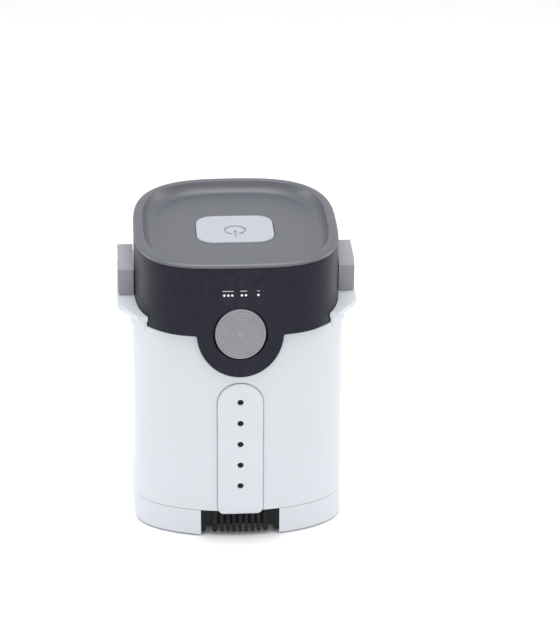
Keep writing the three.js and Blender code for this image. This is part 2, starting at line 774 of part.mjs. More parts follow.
function headHousing() {
  const top = partingLine - gap;
  const wall = cut(prism(headOutline(), headBottom, top),
    prism(headOutline(headWall), headInside, top + through));
  const well = modeOval(modeButtonGap, -headHalfDepth - 3, -headHalfDepth + modeWellDepth);
  const postHole = rodAlongY(modePostRadius + 0.4, -headHalfDepth, wellBack + 1, 0,
    modeCentre + modePostRise);
  const lampHoles = lampPlaces.map((x) => rodAlongY(lampRadius + lampFit,
    -headHalfDepth - 2, -headHalfDepth + headWall + 2, x, lampHeight, 10));
  const markHoles = marks.map(([x0, x1]) => block(x0 - lampFit, x1 + lampFit,
    -headHalfDepth - 2, -headHalfDepth + headWall + 2,
    markHeight - markThickness / 2 - lampFit, markHeight + markThickness / 2 + lampFit));
  const window = block(-grilleHalfWidth + grilleBorder - gap, grilleHalfWidth - grilleBorder + gap,
    rearFloor - 8, headHalfDepth, grilleBottom + neckBorder - gap,
    grilleTop - neckBorder + gap);
  const port = rodAlongY(portSocketRadius + gap, rearFloor - 8, headHalfDepth,
    0, portHeight + portCoverHeight / 2);
  const sunkenPanel = block(-rearPanelHalfWidth, rearPanelHalfWidth, rearFloor,
    headHalfDepth + through, rearPanelBottom, rearPanelTop);
  const backing = block(-rearPanelHalfWidth - rearBacking, rearPanelHalfWidth + rearBacking,
    rearFloor - rearBacking, rearFloor + 1, headInside - gap, rearPanelTop + rearBacking);
  const ductHole = block(-ductHalfWidth - gap, ductHalfWidth + gap, ductFront - gap,
    ductFront + ductDepth + gap, headBottom - 1, headInside + 1);
  const screwHoles = ringPlaces(podScrewCircle).map(([x, y]) => rod(screwRadius + screwPlay,
    headBottom - 1, headBottom + 2.4, x, y, 10));
  const posts = [[-1, -1], [1, -1], [-1, 1], [1, 1]].map(([sx, sy]) => rod(postRadius,
    headInside - gap, boardBottom - gap, sx * (boardWidth / 2 - 6), sy * (boardDepth / 2 - 6), 8));
  const body = join(cut(join(wall, backing), sunkenPanel), apron(), ...posts, ...portLugs());
  return cut(body, well, postHole, window, port, ductHole, ...lampHoles, ...markHoles,
    ...screwHoles);
}

function portPivotY() {
  return rearFloor + gap + portCoverThickness / 2;
}

function portLugs() {
  return [-1, 1].map((side) => {
    const x0 = side > 0 ? portHalfWidth + gap : -portHalfWidth - gap - portLugWidth;
    const x1 = x0 + portLugWidth;
    const lug = join(block(x0, x1, rearFloor - 1.5, portPivotY(), portHeight - portLugRadius,
      portHeight + portLugRadius), rodAlongX(portLugRadius, x0, x1, portPivotY(), portHeight, 16));
    return cut(lug, rodAlongX(portPinRadius + slack / 4, x0 - 1, x1 + 1, portPivotY(),
      portHeight, 16));
  });
}

function portPin() {
  return rodAlongX(portPinRadius, -portHalfWidth - portLugWidth, portHalfWidth + portLugWidth,
    portPivotY(), portHeight, 16);
}

function portCover() {
  const front = rearFloor + gap;
  const eye = rodAlongX(portCoverThickness / 2, -portHalfWidth, portHalfWidth,
    portPivotY(), portHeight);
  const plate = prismAlongY(roundedRectangle(portHalfWidth, portCoverHeight / 2, 3, 0,
    portHeight + portCoverHeight / 2), front, front + portCoverThickness, { curveSegments: 5 });
  const foot = block(-portHalfWidth, portHalfWidth, front, front + portCoverThickness,
    portHeight, portHeight + 4);
  const hole = rodAlongX(portPinRadius + slack / 4, -portHalfWidth - 1, portHalfWidth + 1,
    portPivotY(), portHeight, 16);
  return cut(join(plate, eye, foot), hole);
}

function portSocket() {
  const z = portHeight + portCoverHeight / 2;
  const body = rodAlongY(portSocketRadius, rearFloor - 11, rearFloor - gap, 0, z);
  const bore = rodAlongY(portSocketRadius - 1.6, rearFloor - 6, rearFloor + 1, 0, z);
  const pin = rodAlongY(1, rearFloor - 7, rearFloor - 1, 0, z, 12);
  return join(cut(body, bore), pin);
}

function outletGrille() {
  const neckX = grilleHalfWidth - grilleBorder;
  const neckZ0 = grilleBottom + neckBorder;
  const neckZ1 = grilleTop - neckBorder;
  const face = rearFloor + gap;
  const middle = (grilleBottom + grilleTop) / 2;
  const bezel = prismAlongY(roundedRectangle(grilleHalfWidth, (grilleTop - grilleBottom) / 2,
    6, 0, middle),
    face, rearReach, { curveSegments: 4, round: 1.2 });
  const neck = block(-neckX, neckX, rearFloor - rearBacking + 1.5, face + 2, neckZ0, neckZ1);
  const pitch = (2 * neckX - grilleBar) / grilleSlots;
  const slots = Array.from({ length: grilleSlots }, (_, i) => {
    const x0 = -neckX + grilleBar + i * pitch;
    return block(x0, x0 + pitch - grilleBar, rearFloor - 7, rearReach + 1,
      neckZ0 + grilleBar, neckZ1 - grilleBar);
  });
  return cut(join(bezel, neck), ...slots);
}

function topCover() {
  const seat = headWall + gap;
  const edge = prism(headOutline(), partingLine - coverRise, rimTop,
    { round: coverRise, inset: coverEdge, steps: 4 });
  const upper = cut(edge, block(-tankHalfWidth, tankHalfWidth, -headHalfDepth - through,
    headHalfDepth + through, headBottom, partingLine));
  const plug = prism(headOutline(seat), trayTop - trayFloor, partingLine + gap);
  const bowlTop = rimTop + 2 * trayDepth;
  const cove = coverEdge + rimFlat;
  const bowl = prism(headOutline(cove), trayTop, bowlTop,
    { round: trayDepth, inset: trayCove, steps: 4 });
  const hole = prism(roundedRectangle(powerButtonWidth / 2 + slack, powerButtonDepth / 2 + slack,
    powerButtonCorner + slack), trayTop - trayFloor - 1, trayTop + 1, { curveSegments: 8 });
  return cut(join(upper, plug), bowl, hole);
}

function coverGasket() {
  const outer = headWall + gap;
  return cut(prism(headOutline(outer), gasketBottom, gasketTop),
    prism(headOutline(outer + gasketHeight), gasketBottom - through, gasketTop + through));
}

function powerButton() {
  const top = trayTop + powerButtonProud;
  const flangeTop = trayTop - trayFloor - gap;
  const halfX = powerButtonWidth / 2;
  const halfY = powerButtonDepth / 2;
  const cap = prism(roundedRectangle(halfX, halfY, powerButtonCorner), flangeTop - powerButtonFlange,
    top, { curveSegments: 4, round: 0.8 });
  const flangeCorner = powerButtonCorner + powerButtonFlange;
  const flange = prism(roundedRectangle(halfX + powerButtonFlange, halfY + powerButtonFlange,
    flangeCorner), flangeTop - powerButtonFlange, flangeTop, { curveSegments: 4 });
  const post = rod(domeRadius - 2, domeTop() + powerTravel + gap, flangeTop - 1);
  return join(cap, flange, post);
}

function domeTop() {
  return boardBottom + boardThickness + gap + 6.5;
}

function powerDome() {
  const bottom = boardBottom + boardThickness + gap;
  return rod(domeRadius, bottom, domeTop(), 0, 0, 24, domeRadius - 2.5);
}

// Drawn round the Z axis, stretched to an oval, then turned to face the front.
function modeButton() {
  const pitch = 1 / ridgeCount;
  const face = modeButtonThickness;
  const profile = [[0, 0], [1, 0], [1, face - ridgeHeight]];
  for (let i = ridgeCount; i > 0; i -= 1) {
    profile.push([(i - 0.2) * pitch, face], [(i - 0.8) * pitch, face - ridgeHeight]);
  }
  profile.push([0, face - ridgeHeight / 2]);
  const points = profile.map(([r, z]) => new THREE.Vector2(r, z));
  const lathe = new THREE.LatheGeometry(points, 28).rotateX(Math.PI / 2);
  const back = -headHalfDepth - modeButtonProud + modeButtonThickness;
  const cap = lathe.scale(modeButtonWidth / 2, modeButtonHeight / 2, 1).rotateX(Math.PI / 2)
    .translate(0, back, modeCentre);
  return join(solid(cap), rodAlongY(modePostRadius, back - gap, back + modePostLength,
    0, modeCentre + modePostRise));
}

function modeSwitch() {
  const front = -headHalfDepth - modeButtonProud + modeButtonThickness + modePostLength
    + modeTravel + gap;
  const height = modeCentre + modePostRise;
  return join(rodAlongY(3.4, front, front + 2, 0, height),
    rodAlongY(modeSwitchRadius, front + 1.5, front + 4, 0, height));
}

function lightGuide() {
  const back = -headHalfDepth + headWall + 2.2;
  const front = -headHalfDepth + headWall + 0.5;
  const faceY = -headHalfDepth - 0.1;
  const plate = block(-20, 20, front, back, lampHeight - 4, markHeight + 4);
  const pegs = lampPlaces.map((x) => rodAlongY(lampRadius, faceY, front + gap, x, lampHeight, 10));
  const bars = marks.map(([x0, x1]) => block(x0, x1, faceY, front + gap,
    markHeight - markThickness / 2, markHeight + markThickness / 2));
  return join(plate, ...pegs, ...bars);
}

function controlBoard() {
  return prism(roundedRectangle(boardWidth / 2, boardDepth / 2, 4), boardBottom,
    boardBottom + boardThickness, { curveSegments: 3 });
}

function cellPlaces() {
  return Array.from({ length: cellCount }, (_, i) => (i - (cellCount - 1) / 2) * cellPitch);
}

function cellTray() {
  const bottom = headInside + gap;
  const half = (cellCount * cellPitch) / 2;
  const top = bottom + cellTrayThickness + cellRadius;
  const body = block(-half, half, -cellLength / 2 - 3, cellLength / 2 + 3, bottom, top);
  const beds = cellPlaces().map((x) => join(rodAlongY(cellRadius + gap, -cellLength / 2 - gap,
    cellLength / 2 + gap, x, top + gap)));
  return cut(body, ...beds);
}

function cell(x) {
  const z = headInside + gap + cellTrayThickness + cellRadius + gap;
  return rodAlongY(cellRadius, -cellLength / 2, cellLength / 2, x, z, 14);
}

// ---------------------------------------------------------------- pump pod
function ringPlaces(radius) {
  return [45, 135, 225, 315].map((degrees) => {
    const angle = THREE.MathUtils.degToRad(degrees);
    return [radius * Math.cos(angle), radius * Math.sin(angle)];
  });
}

function podHousing() {
  const top = headBottom - gap;
  const flange = rod(podFlangeRadius, top - podFlangeThickness, top, 0, 0, 28);
  const body = join(rod(podRadius, podBottom, top, 0, 0, 28), flange);
  const inside = rod(podRadius - podWall, podBottom + podFloor, top + through, 0, 0, 28);
  const shaftHole = rod(shaftRadius + gap, podBottom - 1, podBottom + 4);
  const screwHoles = ringPlaces(podScrewCircle).map(([x, y]) => rod(screwRadius + screwPlay,
    top - podFlangeThickness - 1, top + 1, x, y, 10));
  const ductRoom = block(-ductHalfWidth - gap, ductHalfWidth + gap, ductFront - gap,
    podFlangeRadius + 5, top - podFlangeThickness - 1, top + 1);
  return cut(body, inside, shaftHole, ductRoom, ...screwHoles);
}

function motor() {
  const bottom = podBottom + podFloor + gap;
  const body = rod(podRadius - podWall - gap, bottom, bottom + motorLength, 0, 0, 24);
  const crown = rod(12, bottom + motorLength - gap, bottom + motorLength + 5);
  return cut(join(body, crown), rod(shaftRadius + gap, bottom - 1, bottom + shaftInMotor + gap));
}

function motorShaft() {
  return rod(shaftRadius, voluteBottom + voluteWall + 2, podBottom + podFloor + gap + shaftInMotor);
}

function shaftSeal() {
  return pipe(sealRadius, shaftRadius + gap, voluteTop + gap, podBottom - gap, 28);
}

function volute() {
  const body = rod(voluteRadius, voluteBottom, voluteTop, 0, 0, 28);
  const chamber = rod(voluteRadius - voluteWall, voluteBottom + voluteWall,
    voluteTop - voluteWall, 0, 0, 28);
  const eye = rod(voluteEye, voluteBottom - 1, voluteBottom + voluteWall + 1);
  const shaftHole = rod(shaftRadius + gap, voluteTop - voluteWall - 1, voluteTop + 1);
  const outlet = block(-ductHalfWidth + ductWall, ductHalfWidth - ductWall, voluteRadius - 12,
    voluteRadius + 2, voluteBottom + voluteWall + 2, voluteTop - voluteWall - 2);
  return cut(body, chamber, eye, shaftHole, outlet);
}

function impeller() {
  const top = voluteTop - voluteWall - 1.5;
  const bottom = voluteBottom + voluteWall + 3;
  const blades = Array.from({ length: impellerBlades }, (_, i) => {
    const blade = new THREE.BoxGeometry(impellerRadius - 10, bladeThickness, top - bottom - 1);
    blade.translate((impellerRadius + 8) / 2, 0, (top + bottom - 1) / 2);
    return solid(blade.rotateZ((2 * Math.PI * i) / impellerBlades));
  });
  const disc = rod(impellerRadius, top - 2, top, 0, 0, 28);
  return cut(join(disc, rod(8, bottom, top), ...blades),
    rod(shaftRadius + gap, bottom - 1, top + 1));
}

function outletDuct() {
  const bottom = voluteBottom;
  const top = grilleTop - neckBorder;
  const back = ductFront + ductDepth;
  const end = rearFloor - rearBacking + 1.5 - gap;
  const channelX = ductHalfWidth - ductWall;
  const low = grilleBottom + neckBorder;
  const riser = block(-ductHalfWidth, ductHalfWidth, ductFront, back, bottom, top);
  const run = block(-ductHalfWidth, ductHalfWidth, ductFront, end, low, top);
  const rise = block(-channelX, channelX, ductFront + ductWall, back - ductWall,
    bottom + ductWall, top - ductWall);
  const level = block(-channelX, channelX, ductFront + ductWall, end + 1,
    low + ductWall, top - ductWall);
  const inlet = block(-channelX, channelX, ductFront - 1, ductFront + ductWall + 1,
    voluteBottom + voluteWall + 2, voluteTop - voluteWall - 2);
  return cut(join(riser, run), rise, level, inlet);
}

// ---------------------------------------------------------------- build the cleaner
add('base_ring', baseRing(), white);
footPlaces().forEach((place, i) => add(`foot_${i + 1}`, foot(place), rubber));
add('tank_shell', tankShell(), white);
bossPlaces().forEach(([x, y], i) => add(`base_screw_${i + 1}`,
  screw(x, y, basePlateBottom - screwHeadHeight - gap, baseHeight + baseScrewReach), steel));
add('front_strip', frontStrip(), white);
studHeights().forEach((z, i) => add(`strip_stud_${i + 1}`, stripStud(z), black));
add('comb', comb(), black);
add('intake_throat', throat(), black);
add('flap_pin', rodAlongX(flapPinRadius, -mouthWidth / 2 - flapEye, mouthWidth / 2 + flapEye,
  flapPivotY(), flapPivotZ(), 16), steel);
add('intake_flap', intakeFlap(), rubber);
add('basket_floor', basketFloor(), screen);
add('filter_basket', basketCage(), screen);
add('deck_seal', deckSeal(), rubber);
for (const [word, side] of [['left', -1], ['right', 1]]) {
  add(`latch_${word}`, latch(side), latchGrey);
  add(`latch_pad_${word}`, latchPad(side), rubber);
  add(`latch_pin_${word}`, latchPin(side), steel);
}

add('head_housing', headHousing(), charcoal);
add('top_cover', topCover(), tray);
add('cover_gasket', coverGasket(), rubber);
add('power_button', powerButton(), buttonGrey);
add('power_dome', powerDome(), rubber);
add('mode_button', modeButton(), modeGrey);
add('mode_switch', modeSwitch(), black);
add('light_guide', lightGuide(), lamp);
add('control_board', controlBoard(), green);
add('cell_tray', cellTray(), black);
cellPlaces().forEach((x, i) => add(`cell_${i + 1}`, cell(x), cellBlue));
add('port_socket', portSocket(), steel);
add('port_pin', portPin(), steel);
add('port_cover', portCover(), rubber);
add('outlet_grille', outletGrille(), charcoal);
add('outlet_duct', outletDuct(), black);
add('pod_housing', podHousing(), charcoal);
ringPlaces(podScrewCircle).forEach(([x, y], i) => add(`pod_screw_${i + 1}`,
  screw(x, y, headBottom - gap - podFlangeThickness - screwHeadHeight - gap,
    headBottom + 2), steel));
add('motor', motor(), steel);
add('shaft_seal', shaftSeal(), rubber);
add('pump_volute', volute(), charcoal);
add('motor_shaft', motorShaft(), steel);
add('impeller', impeller(), white);

export default cleaner;
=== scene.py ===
import json
import math

import bmesh
import bpy
from mathutils import Matrix, Vector


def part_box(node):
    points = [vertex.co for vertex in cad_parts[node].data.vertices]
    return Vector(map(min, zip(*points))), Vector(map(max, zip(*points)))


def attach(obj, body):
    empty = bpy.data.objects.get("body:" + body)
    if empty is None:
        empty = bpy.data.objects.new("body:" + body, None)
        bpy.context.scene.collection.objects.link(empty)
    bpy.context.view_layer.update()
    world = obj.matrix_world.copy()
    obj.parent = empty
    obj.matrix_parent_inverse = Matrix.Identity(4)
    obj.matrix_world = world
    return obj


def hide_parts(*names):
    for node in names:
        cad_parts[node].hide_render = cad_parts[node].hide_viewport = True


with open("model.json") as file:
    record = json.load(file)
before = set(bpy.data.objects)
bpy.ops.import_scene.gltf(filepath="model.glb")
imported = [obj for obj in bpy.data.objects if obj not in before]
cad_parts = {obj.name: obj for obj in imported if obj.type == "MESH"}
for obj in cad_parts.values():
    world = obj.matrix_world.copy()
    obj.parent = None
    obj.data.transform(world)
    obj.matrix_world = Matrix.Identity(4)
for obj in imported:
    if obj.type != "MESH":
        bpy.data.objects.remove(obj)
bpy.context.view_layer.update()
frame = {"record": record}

bl_info = {
    "name": "Pool Cleaner Looks",
    "version": (1, 0, 0),
    "blender": (4, 5, 0),
    "location": "View3D > Sidebar > Cleaner",
    "description": "Detailed pieces and finishes for an upright cordless pool cleaner",
    "category": "Object",
}

MM = 0.001
PANEL_TAB = "Cleaner"


# ------------------------------------------------------------------ places taken from the frame
def low(node):
    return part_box(node)[0]


def high(node):
    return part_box(node)[1]


def middle(node):
    return (low(node) + high(node)) / 2


TANK_HALF_WIDTH = high("base_ring").x
TANK_HALF_DEPTH = high("base_ring").y
TANK_TOP = high("deck_seal").z - 0.3 * MM
BASE_TOP = high("base_ring").z
HEAD_HALF_WIDTH = high("top_cover").x + 0.15 * MM
HEAD_HALF_DEPTH = high("outlet_grille").y - 0.4 * MM
HEAD_BOTTOM = TANK_TOP + 0.6 * MM
PARTING_LINE = high("head_housing").z + 0.3 * MM
RIM_TOP = high("top_cover").z
TRAY_TOP = low("top_cover").z + 3 * MM
MODE_CENTRE = HEAD_BOTTOM + 2.5 * MM
WELL_DEPTH = 5.5 * MM
WELL_FLOOR = 1.4 * MM
LEDGE_REACH = high("tank_shell").x
LEDGE_TOP = low("latch_right").z - 0.3 * MM
HEAD_FLOOR = HEAD_BOTTOM + 3.5 * MM
COVER_SEAT = 3.3 * MM
KEY_FLANGE, KEY_CORNER = 2.6 * MM, 17 * MM
INTAKE_HALF_X, INTAKE_HALF_Y = 30 * MM, 17 * MM
INTAKE_CORNER, INTAKE_WALL = 8 * MM, 3 * MM
FOOT_RADIUS = 7 * MM
# Radii of the holes for screws, studs and pins.
SCREW_HOLE, STUD_HOLE = 1.95 * MM, 1.8 * MM
LATCH_HOLE, FLAP_HOLE, PORT_HOLE = 1.45 * MM, 1.5 * MM, 0.95 * MM
VIEW_HEIGHT = 0.1522
WORLD_STRENGTH = 0.85
BODY_OF = {node: body for body, nodes in frame["record"]["behaviour"]["bodies"].items()
           for node in nodes}


# ------------------------------------------------------------------ what a user may change
class CleanerSizes(bpy.types.PropertyGroup):
    """Shape values that the frame doesn't hold."""

    end_depth: bpy.props.FloatProperty(
        name="Curved End", description="Depth of the tank's curved front and back",
        default=48.5 * MM, unit="LENGTH")
    tank_wall: bpy.props.FloatProperty(
        name="Tank Wall", description="Thickness of the tank's wall",
        default=3 * MM, unit="LENGTH")
    squareness: bpy.props.FloatProperty(
        name="Head Squareness", description="Power of the head's rounded outline in front",
        default=3.44, min=2.0, max=8.0)
    rear_squareness: bpy.props.FloatProperty(
        name="Rear Squareness", description="Power of the head's rounded outline behind",
        default=2.9, min=2.0, max=8.0)
    apron_width: bpy.props.FloatProperty(
        name="Apron Width", description="Width of the tongue round the mode button",
        default=81.2 * MM, unit="LENGTH")
    apron_height: bpy.props.FloatProperty(
        name="Apron Height", description="Height of the whole oval that the tongue is part of",
        default=89.6 * MM, unit="LENGTH")
    rim_rounding: bpy.props.FloatProperty(
        name="Rim Rounding", description="Width of the cover's rounded outer edge",
        default=6.4 * MM, unit="LENGTH")
    cove_width: bpy.props.FloatProperty(
        name="Tray Cove", description="Width of the hollow between the rim and the tray's floor",
        default=10 * MM, unit="LENGTH")
    ridges: bpy.props.IntProperty(
        name="Ridges", description="Rings on the mode button", default=8, min=2, max=16)
    strip_pillow: bpy.props.FloatProperty(
        name="Strip Pillow", description="Width of the soft edge of the front strip",
        default=6 * MM, unit="LENGTH")
    strip_gap: bpy.props.FloatProperty(
        name="Strip Gap", description="Open line round the front strip",
        default=0.9 * MM, unit="LENGTH")
    edge: bpy.props.FloatProperty(
        name="Edge Rounding", description="Rounding of the cut edges",
        default=0.4 * MM, unit="LENGTH")


class CleanerColours(bpy.types.PropertyGroup):
    """Base colours of the finishes; the tray's colour also holds painted top light."""

    white: bpy.props.FloatVectorProperty(
        name="White Shell", description="Tank, base ring and front strip", subtype="COLOR",
        size=3, default=(0.62, 0.655, 0.69), min=0, max=1)
    charcoal: bpy.props.FloatVectorProperty(
        name="Charcoal", description="Head housing", subtype="COLOR",
        size=3, default=(0.007, 0.008, 0.018), min=0, max=1)
    # Painted top light: the tray's colour is lighter than the charcoal head to stand in for light
    # falling from above.
    tray: bpy.props.FloatVectorProperty(
        name="Tray", description="Top cover", subtype="COLOR",
        size=3, default=(0.080, 0.085, 0.102), min=0, max=1)
    button: bpy.props.FloatVectorProperty(
        name="Power Button", description="Button in the tray", subtype="COLOR",
        size=3, default=(0.37, 0.39, 0.43), min=0, max=1)
    mode: bpy.props.FloatVectorProperty(
        name="Mode Button", description="Ridged button at the front", subtype="COLOR",
        size=3, default=(0.27, 0.27, 0.295), min=0, max=1)
    latch: bpy.props.FloatVectorProperty(
        name="Latches", description="Side latches", subtype="COLOR",
        size=3, default=(0.30, 0.30, 0.34), min=0, max=1)


class CleanerStage(bpy.types.PropertyGroup):
    """Camera and light."""

    azimuth: bpy.props.FloatProperty(
        name="Azimuth", description="Camera's turn round the object",
        default=math.radians(-3.95), subtype="ANGLE")
    elevation: bpy.props.FloatProperty(
        name="Elevation", description="Camera's height above the horizon",
        default=math.radians(25.0), subtype="ANGLE")
    roll: bpy.props.FloatProperty(
        name="Roll", description="Camera's turn about its own axis",
        default=math.radians(0.42), subtype="ANGLE")
    distance: bpy.props.FloatProperty(
        name="Distance", description="Camera to the middle of the object",
        default=2.566, unit="LENGTH")
    lens: bpy.props.FloatProperty(
        name="Lens", description="Focal length in millimetres", default=153.94)
    aim_right: bpy.props.FloatProperty(
        name="Aim Right", description="Aim point, to the right of the object's axis",
        default=43.85 * MM, unit="LENGTH")
    aim_up: bpy.props.FloatProperty(
        name="Aim Up", description="Aim point, above the middle of the object",
        default=36.9 * MM, unit="LENGTH")
    key: bpy.props.FloatProperty(
        name="Top Light", description="Power of the large light overhead, in watts", default=13.0)
    side: bpy.props.FloatProperty(
        name="Side Lights", description="Power of each side light, in watts", default=6.5)
    front: bpy.props.FloatProperty(
        name="Front Light", description="Power of the light beside the camera, in watts",
        default=2.6)


# ------------------------------------------------------------------ outlines
def even_loop(points, count):
    """The closed outline through points, with count points at even distances."""
    lengths = [0.0]
    closed = points + points[:1]
    for a, b in zip(closed, closed[1:]):
        lengths.append(lengths[-1] + math.dist(a, b))
    result = []
    k = 0
    for i in range(count):
        target = lengths[-1] * i / count
        while lengths[k + 1] < target:
            k += 1
        part = (target - lengths[k]) / (lengths[k + 1] - lengths[k])
        (x0, y0), (x1, y1) = closed[k], closed[k + 1]
        result.append((x0 + (x1 - x0) * part, y0 + (y1 - y0) * part))
    return result


def tank_outline(inset=0.0, count=280):
    """Straight sides and curved ends, seen from above."""
    sizes = bpy.context.scene.cleaner_sizes
    half_width = TANK_HALF_WIDTH - inset
    end_depth = sizes.end_depth - inset
    end_centre = TANK_HALF_DEPTH - sizes.end_depth
    points = []
    for end in (-1, 1):
        for i in range(121):
            angle = math.pi * i / 120
            points.append((end * math.cos(angle) * half_width,
                           end * (end_centre + end_depth * math.sin(angle))))
    return even_loop(points, count)


def tank_front(x, inset=0.0):
    """The Y of the tank's front at x."""
    sizes = bpy.context.scene.cleaner_sizes
    across = x / (TANK_HALF_WIDTH - inset)
    end_centre = TANK_HALF_DEPTH - sizes.end_depth
    return -(end_centre + (sizes.end_depth - inset) * math.sqrt(1 - across * across))


def head_point(angle, inset=0.0):
    """A point of the head's outline, seen from above."""
    sizes = bpy.context.scene.cleaner_sizes
    c, s = math.cos(angle), math.sin(angle)
    power = 2 / (sizes.squareness if s < 0 else sizes.rear_squareness)
    return (math.copysign(abs(c) ** power, c) * (HEAD_HALF_WIDTH - inset),
            math.copysign(abs(s) ** power, s) * (HEAD_HALF_DEPTH - inset))


def even_head_angles(start, end, count):
    """Angles whose points lie at even distances along the head's outline."""
    fine = 4000
    angles = [start + (end - start) * i / fine for i in range(fine + 1)]
    lengths = [0.0]
    for a, b in zip(angles, angles[1:]):
        lengths.append(lengths[-1] + math.dist(head_point(a), head_point(b)))
    result = []
    k = 0
    for i in range(count):
        target = lengths[-1] * i / count
        while lengths[k + 1] < target:
            k += 1
        result.append(angles[k])
    return result


def head_outline(inset=0.0, count=280):
    """The head's rounded outline, seen from above."""
    angles = even_head_angles(-math.pi, math.pi, count)
    return [head_point(angle, inset) for angle in angles]


def rounded_rectangle(half_x, half_y, radius, x=0.0, y=0.0, steps=10):
    """A rectangle about (x, y) with round corners."""
    points = []
    corners = ((1, -1, -90), (1, 1, 0), (-1, 1, 90), (-1, -1, 180))
    for sign_x, sign_y, start in corners:
        for i in range(steps + 1):
            angle = math.radians(start + 90 * i / steps)
            points.append((x + sign_x * (half_x - radius) + radius * math.cos(angle),
                           y + sign_y * (half_y - radius) + radius * math.sin(angle)))
    return points


def strip_outline(inset=0.0, corner=6 * MM, steps=40):
    """Upright strip with a round top and rounded lower corners, in X and Z."""
    half = high("front_strip").x - inset
    bottom = low("front_strip").z + inset
    arch = high("front_strip").z - high("front_strip").x
    radius = max(corner - inset, 0.2 * MM)
    points = []
    for i in range(9):
        angle = math.radians(-90 + 90 * i / 8)
        points.append((half - radius + radius * math.cos(angle),
                       bottom + radius + radius * math.sin(angle)))
    for i in range(steps + 1):
        angle = math.pi * i / steps
        points.append((half * math.cos(angle), arch + half * math.sin(angle)))
    for i in range(9):
        angle = math.radians(180 + 90 * i / 8)
        points.append((-half + radius + radius * math.cos(angle),
                       bottom + radius + radius * math.sin(angle)))
    return points


def oval(width, height, x=0.0, y=0.0, count=96):
    return [(x + width / 2 * math.cos(2 * math.pi * i / count),
             y + height / 2 * math.sin(2 * math.pi * i / count)) for i in range(count)]


def circle(radius, x=0.0, y=0.0, count=48):
    return oval(2 * radius, 2 * radius, x, y, count)


# ------------------------------------------------------------------ sections
def filleted(corners, segments=4):
    """The points of a section through (inset, place, radius) corners, with each corner rounded.

    The first and last corner of the list stay sharp."""
    points = [tuple(corners[0][:2])]
    for before, corner, after in zip(corners, corners[1:], corners[2:]):
        here = Vector(corner[:2])
        back = Vector(before[:2]) - here
        ahead = Vector(after[:2]) - here
        radius = corner[2] if len(corner) > 2 else 0.0
        if radius <= 0:
            points.append(tuple(here))
            continue
        half_angle = back.angle(ahead) / 2
        reach = min(radius / math.tan(half_angle), back.length * 0.49, ahead.length * 0.49)
        start = here + back.normalized() * reach
        end = here + ahead.normalized() * reach
        for i in range(segments + 1):
            part = i / segments
            near = start.lerp(here, part)
            far = here.lerp(end, part)
            points.append(tuple(near.lerp(far, part)))
    points.append(tuple(corners[-1][:2]))
    return points


def quarter(inset0, place0, inset1, place1, steps=8, hollow=False):
    """A quarter ellipse between two points of a section.

    It leaves the first point along the place axis, or along the inset axis if hollow."""
    points = []
    for i in range(1, steps + 1):
        angle = math.pi / 2 * i / steps
        a, b = 1 - math.cos(angle), math.sin(angle)
        if hollow:
            a, b = b, a
        points.append((inset0 + (inset1 - inset0) * a, place0 + (place1 - place0) * b))
    return points


# ------------------------------------------------------------------ mesh making
def piece_from(name, vertices, faces):
    """An object whose faces all look outward."""
    mesh = bpy.data.meshes.new(name)
    mesh.from_pydata(vertices, [], faces)
    work = bmesh.new()
    work.from_mesh(mesh)
    bmesh.ops.recalc_face_normals(work, faces=work.faces)
    work.to_mesh(mesh)
    work.free()
    piece = bpy.data.objects.new(name, mesh)
    bpy.context.scene.collection.objects.link(piece)
    return piece


def on_axis(points, place, axis):
    """Lays flat points in the plane across the axis."""
    if axis == "Z":
        return [(x, y, place) for x, y in points]
    if axis == "Y":
        return [(x, place, y) for x, y in points]
    return [(place, x, y) for x, y in points]


def loft(name, rings, closed=False):
    """A solid skin over rings of equal length. A closed one joins its last ring to its first."""
    count = len(rings[0])
    vertices = [point for ring in rings for point in ring]
    faces = []
    pairs = list(zip(range(len(rings)), range(1, len(rings))))
    if closed:
        pairs.append((len(rings) - 1, 0))
    for a, b in pairs:
        for i in range(count):
            j = (i + 1) % count
            faces.append((a * count + i, a * count + j, b * count + j, b * count + i))
    if not closed:
        faces.append(tuple(range(count))[::-1])
        faces.append(tuple((len(rings) - 1) * count + i for i in range(count)))
    return piece_from(name, vertices, faces)


def swept(name, outline, section, axis="Z", closed=False):
    """The section of (inset, place) points, swept round outline(inset)."""
    rings = [on_axis(outline(inset), place, axis) for inset, place in section]
    return loft(name, rings, closed)


def prism(name, points, start, end, axis="Z"):
    return loft(name, [on_axis(points, start, axis), on_axis(points, end, axis)])


def block(name, corner0, corner1):
    (x0, y0, z0), (x1, y1, z1) = corner0, corner1
    return prism(name, [(x0, y0), (x1, y0), (x1, y1), (x0, y1)], z0, z1)


def turned(name, section, centre=(0.0, 0.0), axis="Z", count=64):
    """A solid turned round an axis through centre, from (radius, place) points."""
    rings = [on_axis(circle(max(r, 0.02 * MM), *centre, count), place, axis)
             for r, place in section]
    return loft(name, rings)


def evaluated_mesh(piece):
    """The mesh that the piece's modifiers give."""
    graph = bpy.context.evaluated_depsgraph_get()
    return bpy.data.meshes.new_from_object(piece.evaluated_get(graph))


def take_mesh(piece, mesh):
    piece.modifiers.clear()
    old = piece.data
    piece.data = mesh
    bpy.data.meshes.remove(old)


def settle(piece):
    """Makes the result of the piece's modifiers its own mesh."""
    take_mesh(piece, evaluated_mesh(piece))


def split_faces(piece):
    """Splits every face into triangles."""
    work = bmesh.new()
    work.from_mesh(piece.data)
    bmesh.ops.triangulate(work, faces=work.faces)
    work.to_mesh(piece.data)
    work.free()


def is_closed(mesh):
    """True if every edge has exactly two faces."""
    work = bmesh.new()
    work.from_mesh(mesh)
    good = len(work.faces) > 3 and all(len(edge.link_faces) == 2 for edge in work.edges)
    work.free()
    return good


